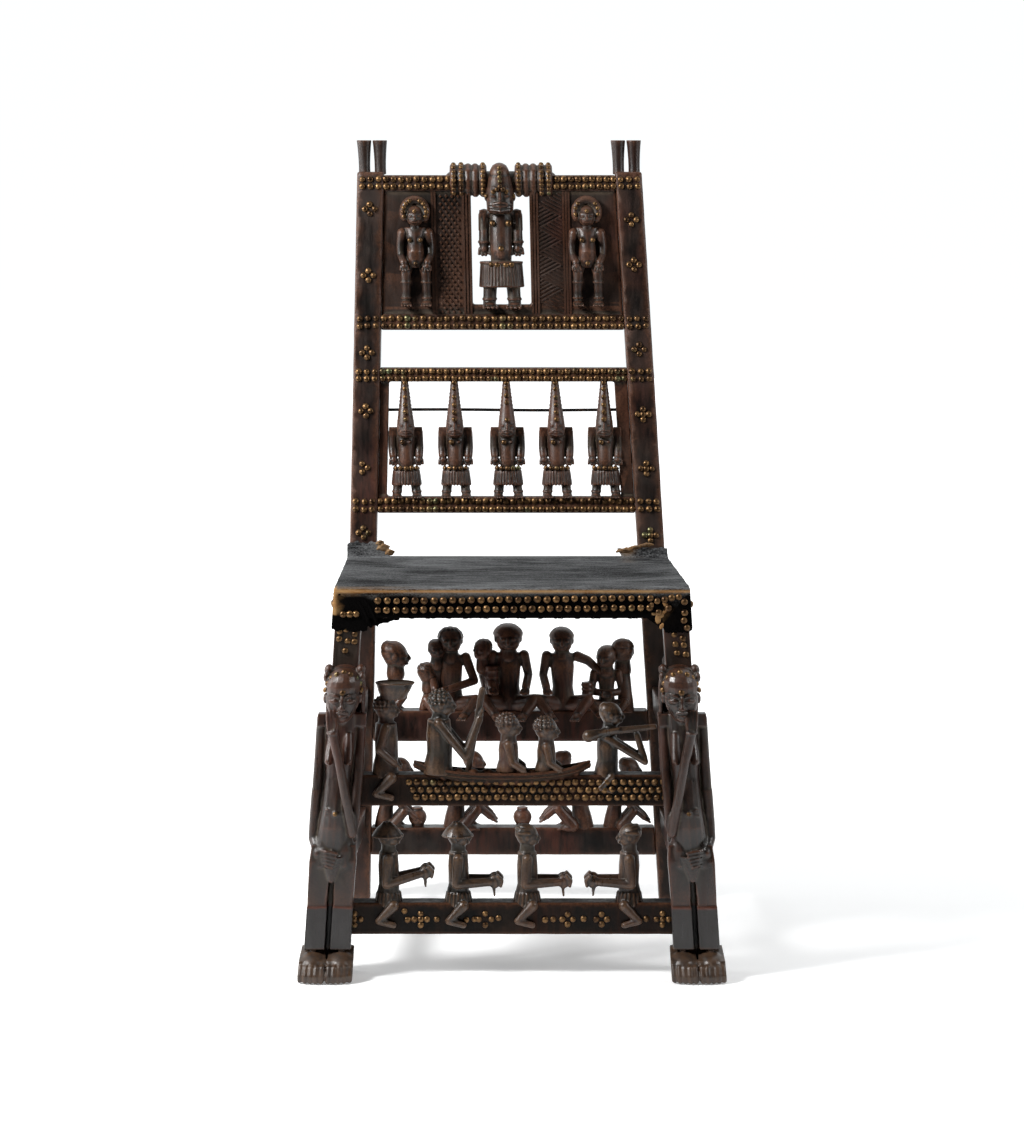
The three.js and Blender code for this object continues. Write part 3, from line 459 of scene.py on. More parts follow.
class Recipe:
    """Builds a material's nodes."""

    def __init__(self, name: str) -> None:
        """Starts a material on object coordinates."""
        self.material = bpy.data.materials.new(name)
        self.material.use_nodes = True
        self.nodes = self.material.node_tree.nodes
        self.links = self.material.node_tree.links
        self.shader = next(node for node in self.nodes if node.type == "BSDF_PRINCIPLED")
        self.place = self.nodes.new("ShaderNodeTexCoord").outputs["Object"]

    def node(self, kind: str, settings: dict | None = None, **inputs: object) -> bpy.types.Node:
        """Adds a node; inputs are given by name, or as i and their number, as values or links."""
        made = self.nodes.new("ShaderNode" + kind)
        for name, value in (settings or {}).items():
            setattr(made, name, value)
        for name, value in inputs.items():
            socket = made.inputs[int(name[1:]) if name[1:].isdigit() else name]
            if isinstance(value, bpy.types.NodeSocket):
                self.links.new(value, socket)
            else:
                socket.default_value = value
        return made

    def noise(
        self, scale: float, stretch: Point = (1, 1, 1), detail: float = 4, roughness: float = 0.55,
    ) -> bpy.types.NodeSocket:
        """A noise pattern.

        Args:
            scale: Repeats for each metre.
            stretch: How densely it repeats along x, y and z.
            detail: Number of finer layers.
            roughness: Strength of the finer layers.

        Returns:
            The pattern, from 0 to 1.
        """
        mapped = self.node("Mapping", Vector=self.place, Scale=stretch).outputs[0]
        made = self.node("TexNoise", Vector=mapped, Scale=scale, Detail=detail, Roughness=roughness)
        return made.outputs[0]

    def span(
        self, value: bpy.types.NodeSocket, low: float, high: float, to_low: float = 0, to_high: float = 1,
    ) -> bpy.types.NodeSocket:
        """A value stretched from one range to another and kept inside it."""
        return self.node("MapRange", i0=value, i1=low, i2=high, i3=to_low, i4=to_high).outputs[0]

    def plus(self, a: object, b: object) -> bpy.types.NodeSocket:
        """The sum of two values."""
        return self.node("Math", {"operation": "ADD"}, i0=a, i1=b).outputs[0]

    def times(self, a: object, b: object) -> bpy.types.NodeSocket:
        """The product of two values."""
        return self.node("Math", {"operation": "MULTIPLY"}, i0=a, i1=b).outputs[0]

    def blend(self, share: object, a: object, b: object) -> bpy.types.NodeSocket:
        """A mix of two colours."""
        return self.node("Mix", {"data_type": "RGBA"}, i0=share, i6=a, i7=b).outputs[2]

    def mark(self, name: str) -> bpy.types.NodeSocket:
        """A value noted on the piece's vertices."""
        return self.node("Attribute", {"attribute_name": name}).outputs["Fac"]

    def height(self, axis: str = "Z") -> bpy.types.NodeSocket:
        """One coordinate of the place, in metres."""
        return self.node("SeparateXYZ", Vector=self.place).outputs[axis]

    def wire(self, socket: str, value: bpy.types.NodeSocket) -> None:
        """Links a value to a socket of the shader."""
        self.links.new(value, self.shader.inputs[socket])

    def bump(self, height: bpy.types.NodeSocket, distance: float, strength: float = 1) -> None:
        """Gives the surface a fine relief, its distance in metres."""
        made = self.node("Bump", Height=height, Distance=distance, Strength=strength)
        self.wire("Normal", made.outputs[0])


def colour(red: float, green: float, blue: float) -> tuple[float, float, float, float]:
    """A display colour, 0 to 255, as a linear one."""
    parts = [value / 255 for value in (red, green, blue)]
    linear = [v / 12.92 if v <= 0.04045 else ((v + 0.055) / 1.055) ** 2.4 for v in parts]
    return (*linear, 1.0)


@dataclass(frozen=True)
class Patina:
    """Old carved wood: dark patina, rubbed ridges and dust in the hollows."""

    name: str
    deep: tuple = colour(13, 10, 9)
    body: tuple = colour(42, 32, 27)
    rubbed: tuple = colour(116, 76, 54)
    red: tuple = colour(74, 34, 22)
    dust: tuple = colour(96, 82, 64)
    dust_share: float = 0.5
    rub_share: float = 0.5
    red_share: float = 0.7
    gloss: float = 0.31
    matt: float = 0.56
    shine: float = 0.34
    grain: tuple = (1, 1, 0.1)

    def material(self) -> bpy.types.Material:
        """Builds the material."""
        recipe = Recipe(self.name)
        patches = recipe.noise(14, detail=3)
        streaks = recipe.noise(160, self.grain, detail=6, roughness=0.65)
        grit = recipe.noise(420, detail=3)
        shade = recipe.span(recipe.plus(patches, recipe.times(streaks, 0.6)), 0.66, 1.0)
        base = recipe.blend(shade, self.deep, self.body)
        redness = recipe.times(recipe.span(recipe.noise(9, (1, 1, 0.5), 2), 0.5, 0.68), self.red_share)
        base = recipe.blend(recipe.times(redness, recipe.span(streaks, 0.35, 0.6)), base, self.red)
        ridge = recipe.times(recipe.mark("ridge"), recipe.span(grit, 0.3, 0.6, 0.35, 1))
        base = recipe.blend(recipe.times(ridge, self.rub_share), base, self.rubbed)
        filled = recipe.times(recipe.mark("hollow"), recipe.span(patches, 0.3, 0.6, 0.45, 1))
        filled = recipe.times(filled, self.dust_share)
        base = recipe.blend(filled, base, self.dust)
        base = self.zones(recipe, base)
        recipe.wire("Base Color", base)
        uneven = recipe.plus(streaks, recipe.times(patches, 0.7))
        dull = recipe.span(uneven, 0.65, 1.1, self.gloss, self.matt)
        dull = recipe.plus(dull, recipe.times(filled, 0.3))
        recipe.wire("Roughness", dull)
        recipe.shader.inputs["Specular IOR Level"].default_value = self.shine
        recipe.bump(recipe.plus(streaks, recipe.times(grit, 0.5)), 0.0005, 0.5)
        return recipe.material

    def zones(self, recipe: Recipe, base: bpy.types.NodeSocket) -> bpy.types.NodeSocket:
        """Colours that go by height. Plain wood has none."""
        return base


@dataclass(frozen=True)
class LegPatina(Patina):
    """The front legs' patina: grey-black calves with a red line above them, and paler, worn feet."""

    calf: tuple = colour(28, 28, 28)
    foot: tuple = colour(74, 53, 36)
    calf_top: float = 0.083
    foot_top: float = 0.036

    def zones(self, recipe: Recipe, base: bpy.types.NodeSocket) -> bpy.types.NodeSocket:
        """Lays the calves' and the feet's colours over the wood."""
        height = recipe.height()
        wander = recipe.times(recipe.noise(30, detail=2), 0.006)
        level = recipe.plus(height, wander)
        calf = recipe.span(level, self.calf_top, self.calf_top + 0.001, 0.9, 0)
        rise = recipe.span(level, self.calf_top - 0.001, self.calf_top + 0.001)
        fall = recipe.span(level, self.calf_top + 0.001, self.calf_top + 0.004, 1, 0)
        line = recipe.times(rise, fall)
        base = recipe.blend(calf, base, self.calf)
        base = recipe.blend(recipe.times(line, 0.7), base, self.red)
        foot = recipe.span(level, self.foot_top, self.foot_top + 0.004, 0.75, 0)
        spots = recipe.span(recipe.noise(120, (1, 1, 0.3)), 0.35, 0.6, 0.35, 1)
        return recipe.blend(recipe.times(foot, spots), base, self.foot)


@dataclass(frozen=True)
class OldBrass:
    """Tacks of old brass: a dull gold mottled with brown, and some verdigris."""

    name: str = "old_brass"
    metal: tuple = colour(128, 98, 64)
    brown: tuple = colour(60, 42, 28)
    green: tuple = colour(96, 128, 96)
    green_share: float = 0.35

    def material(self) -> bpy.types.Material:
        """Builds the material."""
        recipe = Recipe(self.name)
        spots = recipe.noise(260, detail=3)
        from_tack_to_tack = recipe.noise(60, detail=1)
        share = recipe.span(recipe.plus(spots, from_tack_to_tack), 0.75, 1.3)
        base = recipe.blend(share, self.brown, self.metal)
        green = recipe.times(recipe.span(recipe.noise(25, detail=2), 0.6, 0.7), self.green_share)
        recipe.wire("Base Color", recipe.blend(green, base, self.green))
        recipe.wire("Roughness", recipe.span(spots, 0.35, 0.65, 0.3, 0.5))
        recipe.shader.inputs["Metallic"].default_value = 0.85
        recipe.bump(spots, 0.0001, 0.25)
        return recipe.material


@dataclass(frozen=True)
class BlackHide:
    """Black grained hide, its front edge and torn places worn to tan, its skirt and folded corners darkened
    by painted shade.
    """

    name: str = "black_hide"
    deep: tuple = colour(16, 16, 17)
    body: tuple = colour(104, 105, 106)
    tan: tuple = colour(138, 96, 58)
    torn: tuple = colour(176, 142, 96)

    def material(self) -> bpy.types.Material:
        """Builds the material."""
        recipe = Recipe(self.name)
        cross = recipe.noise(110, (0.2, 1, 1), 8, 0.8)
        grit = recipe.noise(520, detail=3)
        patches = recipe.noise(10, (0.6, 1, 1), 3)
        pores = recipe.noise(900, (0.5, 1, 1), detail=2)
        fine = recipe.plus(cross, recipe.times(pores, 0.6))
        shade = recipe.span(recipe.plus(fine, recipe.times(patches, 0.5)), 0.94, 1.24)
        base = recipe.blend(shade, self.deep, self.body)
        # Painted shade: where the mark shade is noted, on the front skirt below the top edge and on the
        # folded corners, the hide turns near-black.
        base = recipe.blend(recipe.mark("shade"), base, colour(6, 5, 5))
        rubbing = recipe.span(recipe.noise(70, (0.5, 1, 1)), 0.25, 0.5, 0.55, 1)
        worn = recipe.times(recipe.mark("worn"), rubbing)
        base = recipe.blend(worn, base, recipe.blend(recipe.span(cross, 0.35, 0.65), self.tan, self.torn))
        recipe.wire("Base Color", base)
        recipe.wire("Roughness", recipe.span(cross, 0.35, 0.65, 0.6, 0.8))
        recipe.shader.inputs["Specular IOR Level"].default_value = 0.02
        recipe.bump(recipe.plus(cross, recipe.times(grit, 0.6)), 0.0012, 0.8)
        return recipe.material


@dataclass(frozen=True)
class Iron:
    """Dark forged iron."""

    name: str = "forged_iron"
    dark: tuple = colour(26, 24, 23)
    rust: tuple = colour(64, 46, 36)

    def material(self) -> bpy.types.Material:
        """Builds the material."""
        recipe = Recipe(self.name)
        spots = recipe.noise(180, detail=4)
        recipe.wire("Base Color", recipe.blend(recipe.span(spots, 0.45, 0.7), self.dark, self.rust))
        recipe.wire("Roughness", recipe.span(spots, 0.3, 0.7, 0.35, 0.6))
        recipe.shader.inputs["Metallic"].default_value = 0.7
        recipe.bump(spots, 0.0003, 0.4)
        return recipe.material


@dataclass
class Tacks:
    """Domed tacks that one member carries."""

    name: str
    stance: Stance
    radius: float = 3.6
    seed: int = 3
    places: list = field(default_factory=list)

    def at(self, x: float, y: float, z: float, facing: Point = (0, -1, 0), size: float = 1.0) -> None:
        """Drives one tack into a face at a point."""
        self.places.append(((x, y, z), facing, size))

    def row(
        self, start: Point, end: Point, spacing: float, facing: Point = (0, -1, 0), size: float = 1.0,
    ) -> None:
        """Drives a row of tacks from one point to another."""
        a, b = Vector(start), Vector(end)
        count = max(round((b - a).length / spacing), 1)
        for step in range(count + 1):
            self.at(*a.lerp(b, step / count), facing=facing, size=size)

    def cluster(self, x: float, y: float, z: float, spots: Iterable[Point], size: float = 1.0) -> None:
        """Drives a group of tacks round a point, each offset sideways and upwards."""
        for across, up in spots:
            self.at(x + across, y, z + up, size=size)

    def build(self, material: bpy.types.Material) -> bpy.types.Object:
        """Copies the tack to all its places and joins them into one piece."""
        draw = random.Random(self.seed)
        made = []
        for (x, y, z), facing, size in self.places:
            wander = Vector([draw.uniform(-0.12, 0.12) for _ in range(3)])
            turn = (Vector(facing).normalized() + wander).to_track_quat("Z", "Y").to_matrix().to_4x4()
            radius = self.radius * size * draw.uniform(0.93, 1.06)
            shift = Vector((draw.uniform(-0.5, 0.5), 0, draw.uniform(-0.5, 0.5))) if size >= 1 else Vector()
            mesh = Bench.shape("tack").copy()
            mesh.transform(Matrix.Translation(Vector((x, y, z)) + shift) @ turn @ Matrix.Scale(radius, 4))
            tack = bpy.data.objects.new("tack", mesh)
            bpy.context.collection.objects.link(tack)
            made.append(tack)
        piece = Bench.place(Bench.join(made, self.name), self.stance.matrix())
        Bench.smooth(piece, 80)
        return Bench.dress(piece, material)


DIAMOND = ((0, 5.6), (-6, 0), (6, 0), (0, -5.6))
CROSS = ((0, 6.4), (-7, 0), (0, 0), (7, 0), (0, -6.4))


@dataclass
class Anatomy:
    """Parts of a carved body that all the figures share. Figures face -y."""

    carving: Carving

    def hand(self, wrist: Point, tip: Point, across: Point, wide: float, thick: float) -> None:
        """A hand with four fingers side by side.

        Args:
            wrist: Where the hand starts.
            tip: Where the middle fingers end.
            across: Direction in which the fingers lie side by side.
            wide: Half width over the fingers.
            thick: Radius of a finger.
        """
        a, b, side = Vector(wrist), Vector(tip), Vector(across).normalized()
        knuckle = a.lerp(b, 0.45)
        self.carving.limb([(*a, wide * 0.75), (*knuckle, wide * 0.8)], 0.7)
        for step in range(4):
            out = side * wide * (step - 1.5) / 1.5
            end = a.lerp(b, (0.9, 1.0, 1.0, 0.88)[step])
            self.carving.limb([(*(knuckle + out * 0.85), thick), (*(end + out), thick * 0.9)])

    def fist(self, wrist: Vector, along: Vector, tall: float) -> None:
        """A loosely closed hand: fingers over each other, curled down, and a hanging thumb."""
        palm = wrist + along * 0.08 * tall
        self.carving.ball(palm, (0.075 * tall, 0.12 * tall, 0.13 * tall))
        for step in range(4):
            root = palm + Vector(((step - 1.5) * 0.036 * tall, -0.06 * tall, 0.11 * tall))
            bend = root + Vector((0, -0.08 * tall, -0.09 * tall))
            tip = bend + Vector((0, 0.02 * tall, -0.1 * tall))
            self.carving.limb([(*root, 0.034 * tall), (*bend, 0.036 * tall), (*tip, 0.03 * tall)])
        thumb, nail = palm + Vector((0, 0.02 * tall, -0.06 * tall)), palm + Vector((0, 0, -0.27 * tall))
        self.carving.limb([(*thumb, 0.036 * tall), (*nail, 0.022 * tall)])

    def foot(self, heel: Point, length: float, wide: float, high: float, turn: float = 0) -> None:
        """A foot with four toes, pointing forwards and turned outwards by degrees."""
        home = self.carving.base
        self.carving.base = home @ Matrix.Translation(heel) @ Matrix.Rotation(math.radians(turn), 4, "Z")
        self.carving.ball((0, -length * 0.3, high * 0.5), (wide, length * 0.55, high * 0.55))
        for step in range(4):
            x = wide * (step - 1.5) / 1.9
            root, tip = (x, -length * 0.55, high * 0.42), (x * 1.1, -length * 0.95, high * 0.26)
            self.carving.limb([(*root, wide * 0.24), (*tip, wide * 0.22)])
        self.carving.base = home

    def face(self, at: Point, size: float, lips: float = 0.42, eyes: float = 0.26, wide: float = 1.0) -> None:
        """A head's skull and face from the chin up.

        Args:
            at: The chin's place, under the middle of the skull.
            size: Radius of the head.
            lips: Half width of the lips, in shares of the radius.
            eyes: Half width of an eye, in shares of the radius.
            wide: How much wider than plain the skull and the jaw are.
        """
        x, y, z = at
        head = self.carving
        r = size
        head.ball((x, y, z + 1.02 * r), (0.92 * wide * r, 0.96 * r, 1.0 * r))
        head.ball((x, y - 0.22 * r, z + 0.68 * r), (0.82 * wide * r, 0.74 * r, 0.72 * r))
        head.ball((x, y - 0.66 * r, z + 1.28 * r), (0.66 * wide * r, 0.22 * r, 0.2 * r))
        head.limb([(x, y - 0.86 * r, z + 1.2 * r, 0.09 * r), (x, y - 1.08 * r, z + 0.76 * r, 0.16 * r)])
        for side in (-1, 1):
            eye = (x + side * 0.36 * r, y - 0.8 * r, z + 1.02 * r)
            head.ball(eye, (eyes * r, 0.17 * r, 0.13 * r), (0, side * 8, 0))
            head.ball((x + side * 0.88 * wide * r, y, z + 0.98 * r), (0.13 * r, 0.22 * r, 0.3 * r))
        head.ball((x, y - 0.9 * r, z + 0.54 * r), (lips * r, 0.16 * r, 0.09 * r))
        head.ball((x, y - 0.87 * r, z + 0.36 * r), (lips * 0.85 * r, 0.16 * r, 0.1 * r))

    def cap(self, at: Point, size: float, rings: int = 4, wide: float = 1.0) -> None:
        """A close cap of hair with scored rings round the back of the head.

        Args:
            at: The chin's place.
            size: Radius of the head.
            rings: Number of raised rings.
            wide: Width of the cap, in shares of the head's width.
        """
        x, y, z = at
        r = size
        self.carving.ball((x, y + 0.14 * r, z + 1.25 * r), (0.94 * r * wide, 0.98 * r, 0.86 * r))
        for step in range(rings):
            level = (step + 0.5) / rings
            height = z + 1.3 * r + 0.7 * r * level
            reach = math.sqrt(max(1 - level * level * 0.8, 0.05))
            middle = (x, y + 0.16 * r, height)
            self.carving.hoop(middle, 0.92 * r * wide * reach, 0.95 * r * reach, 0.075 * r, -12, 10)


# Arms and legs of the small figures, in shares of the height from seat or feet to shoulders: x, y, z, radius
ARMS = {
    "held_up": ((0.2, 0, 0.85, 0.09), (0.25, 0.03, 0.37, 0.08), (0.16, -0.64, 0.56, 0.065)),
    "held_out": ((0.2, 0, 0.85, 0.09), (0.25, 0.03, 0.37, 0.085), (0.17, -0.62, 0.4, 0.07)),
    "hanging": ((0.2, 0, 0.9, 0.08), (0.27, 0.12, 0.5, 0.07), (0.2, -0.16, 0.24, 0.06)),
    "poling": ((0.18, 0, 0.92, 0.085), (0.24, -0.5, 0.3, 0.07), (0.12, -0.76, 1.0, 0.06)),
    "paddling": ((0.3, 0, 0.9, 0.14), (0.44, -0.15, 0.3, 0.12), (0.42, -0.5, 0.05, 0.11)),
    "aiming": ((0.18, 0, 0.92, 0.09), (0.24, -0.95, 0.33, 0.075), (0.12, -0.75, 0.98, 0.07)),
    "across_belly": ((0.27, 0, 0.93, 0.08), (0.42, -0.05, 0.52, 0.065), (-0.02, -0.25, 0.4, 0.06)),
    "around_child": ((0.27, 0, 0.92, 0.08), (0.45, 0, 0.85, 0.07), (0.66, -0.02, 0.66, 0.06)),
    "folded": ((0.3, 0, 0.88, 0.09), (0.38, -0.05, 0.45, 0.08), (0.02, -0.26, 0.42, 0.075)),
    "on_thigh": ((0.27, 0, 0.93, 0.08), (0.34, 0, 0.6, 0.065), (0.29, -0.26, 0.42, 0.065)),
    "reaching": ((0.18, -0.1, 0.85, 0.08), (0.22, -0.28, 0.5, 0.065), (0.17, -0.6, 0.22, 0.06)),
}


class Pose(Enum):
    """How a small figure sits, with its torso rows and its leg."""

    SQUATTING = (
        (
            (0, 0.02, -0.06, 0.24, 0.24), (0, 0.02, 0.12, 0.22, 0.22), (0, -0.01, 0.34, 0.19, 0.2),
            (0, 0, 0.7, 0.2, 0.2), (0, 0, 0.97, 0.17, 0.18),
        ),
        ((0.26, -0.1, -0.05, 0.09), (0.3, 0.18, -0.34, 0.06), (0.3, -0.1, -0.42, 0.05)),
    )
    SEATED = (
        (
            (0, 0.05, -0.03, 0.24, 0.19), (0, 0.02, 0.2, 0.21, 0.18), (0, 0, 0.4, 0.18, 0.15),
            (0, 0, 0.75, 0.21, 0.15), (0, 0, 0.98, 0.19, 0.12),
        ),
        ((0.1, 0, 0.08, 0.13), (0.44, -0.34, 0.22, 0.085), (0.24, -0.5, -0.02, 0.065)),
    )
    CROUCHING = (
        (
            (0, 0.12, -0.04, 0.2, 0.2), (0, 0.08, 0.2, 0.19, 0.19), (0, 0.05, 0.4, 0.17, 0.16),
            (0, -0.08, 0.75, 0.17, 0.14), (0, -0.16, 0.97, 0.14, 0.12),
        ),
        ((0.2, -0.1, 0.05, 0.1), (0.22, -0.36, 0.36, 0.085), (0.24, -0.1, 0.03, 0.07)),
    )


@dataclass
class Figurine:
    """One small carved person: a body that carries a head with its cap, and its limbs."""

    at: Point
    tall: float
    chin: float
    head: float
    pose: Pose = Pose.SQUATTING
    turn: float = 0
    lean: float = 0
    arms: tuple = ("held_out",)
    legs: bool = True
    cap: str = "rings"
    wide: float = 1.0
    look: float = 0
    skirt: bool = False
    girth: float = 1.0

    def carve(self, carving: Carving) -> None:
        """Lays the figure's lumps."""
        carving.base = Matrix.Translation(self.at) @ Matrix.Rotation(math.radians(self.turn), 4, "Z")
        tall = self.tall
        rows, leg = self.pose.value
        rows = [(x, y, z, wide * self.girth, deep * self.girth) for x, y, z, wide, deep in rows]
        carving.stack([[v * tall for v in row] for row in rows])
        top = rows[-1]
        carving.ball((0, top[1] * tall, 0.93 * tall), (top[3] * tall * 1.2, top[4] * tall, 0.07 * tall))
        body = Anatomy(carving)
        for side, kind in zip((-1, 1), self.arms * 2):
            self.arm(carving, body, side, kind)
        if self.legs:
            for side in (-1, 1):
                joints = [(side * x * tall, y * tall, z * tall, r * tall * 1.2) for x, y, z, r in leg]
                carving.limb(joints)
                foot = joints[-1]
                if self.pose is not Pose.SQUATTING:
                    heel = (foot[0], foot[1], foot[2] - foot[3])
                    body.foot(heel, 0.3 * tall, 0.085 * tall, 0.12 * tall, -side * 12)
        if self.skirt:
            high, low = (0.215, 0.215, 0.16, 0.03), (0.25, 0.25, -0.05, 0.035)
            carving.fringe(18, [share * tall for share in high], [share * tall for share in low])
        forward = (top[1] - self.lean) * tall
        nape = (0, top[1] * tall, 0.9 * tall, self.head * 0.72)
        carving.limb([nape, (0, forward, self.chin * tall + self.head * 0.5, self.head * 0.62)])
        gaze = Matrix.Rotation(math.radians(self.look), 4, "Z")
        carving.base = carving.base @ Matrix.Translation((0, forward, self.chin * tall)) @ gaze
        body.face((0, 0, 0), self.head, wide=(1 + self.wide) / 2)
        self.hair(carving, body)
        carving.base = Matrix.Identity(4)

    def arm(self, carving: Carving, body: Anatomy, side: int, kind: str) -> None:
        """Lays one arm with its hand."""
        tall = self.tall
        joints = [(side * x * tall, y * tall, z * tall, r * tall * 1.15) for x, y, z, r in ARMS[kind]]
        carving.limb(joints)
        elbow, wrist = Vector(joints[1][:3]), Vector(joints[2][:3])
        along = (wrist - elbow).normalized()
        if kind.startswith("held"):
            body.fist(wrist, along, tall)
            return
        across = Vector((1, 0, 0)) if abs(along.x) < 0.7 else Vector((0, 0, 1))
        body.hand(wrist, wrist + along * 0.17 * tall, across, 0.065 * tall, 0.028 * tall)

    def hair(self, carving: Carving, body: Anatomy) -> None:
        """Lays the cap, the brimmed hat or the knotted hair."""
        r = self.head
        if self.cap == "brimmed":
            rows = (
                (0.05, 1, 1.3, 1.36), (0.1, 1.25, 1.24, 1.28),
                (0.12, 1.75, 0.85, 0.9), (0.12, 2.2, 0.3, 0.35),
            )
            carving.stack([(0, y * r, z * r, wide * r, deep * r) for y, z, wide, deep in rows])
            carving.hoop((0, 0.05 * r, 1.02 * r), 1.3 * r, 1.36 * r, 0.1 * r, 0, 16)
            for angle in (0, 60, 120, 180, 240, 300):
                x, y = math.cos(math.radians(angle)), math.sin(math.radians(angle))
                brim, crown = (1.25 * r * x, 1.3 * r * y, 1.15 * r), (
                    0.25 * r * x, 0.12 * r + 0.3 * r * y, 2.22 * r,
                )
                carving.limb([(*brim, 0.08 * r), (*crown, 0.1 * r)])
        elif self.cap == "oval":
            body.cap((0, 0, 0), r, 3)
            for side in (-1, 1):
                carving.hoop((side * 0.85 * r, 0.25 * r, 1.35 * r), 0.1 * r, 0.55 * r, 0.12 * r, 0, 10)
        elif self.cap == "knots":
            carving.ball((0, 0.14 * r, 1.25 * r), (0.92 * r, 0.95 * r, 0.84 * r))
            for ring, count in ((0.28, 6), (0.56, 10), (0.84, 14), (1.12, 16), (1.4, 18)):
                for step in range(count):
                    angle = 2 * math.pi * step / count
                    out = 0.95 * r * math.sin(ring * 1.25)
                    height = 1.25 * r + 0.88 * r * math.cos(ring * 1.25)
                    spot = (out * math.cos(angle), 0.14 * r + out * math.sin(angle), height)
                    if spot[1] > -0.62 * r:
                        carving.ball(spot, (0.115 * r,) * 3)
        elif self.cap == "grid":
            body.cap((0, 0, 0), r, 3, self.wide)
            for angle in range(0, 180, 30):
                turn = Matrix.Rotation(math.radians(angle), 3, "Z")
                arc = []
                for step in range(7):
                    lift = math.pi * step / 6
                    spot = turn @ Vector((
                        0.94 * r * math.cos(lift) * self.wide, 0, 0.88 * r * math.sin(lift),
                    ))
                    arc.append((spot.x, spot.y + 0.14 * r, 1.25 * r + spot.z, 0.07 * r))
                carving.limb([row for row in arc if row[1] > -0.62 * r])
        else:
            body.cap((0, 0, 0), r, 5, self.wide)


@dataclass
class Bar:
    """A straight rung or rail between two posts, with its section's lower edge, height and thickness."""

    name: str
    stance: Stance
    bottom: float
    height: float
    thickness: float

    def half(self, z: float) -> float:
        """Distance of its end from the middle, at height z."""
        return panel_half(z) if self.stance is Stance.BACK else front_half(z) - FRONT_POST[0] / 2 - GAP

    def corners(self) -> list[Point]:
        """The eight corners of its shaft."""
        near, far = MIDDLE - self.thickness / 2, MIDDLE + self.thickness / 2
        rings = []
        for z in (self.bottom, self.bottom + self.height):
            reach = self.half(z)
            rings += [(-reach, near, z), (reach, near, z), (reach, far, z), (-reach, far, z)]
        return rings

    def build(self, material: bpy.types.Material, node: str) -> None:
        """Hews the bar and dresses it in place of its solid."""
        Bench.hew(self.name, self.corners(), self.stance, material, node)


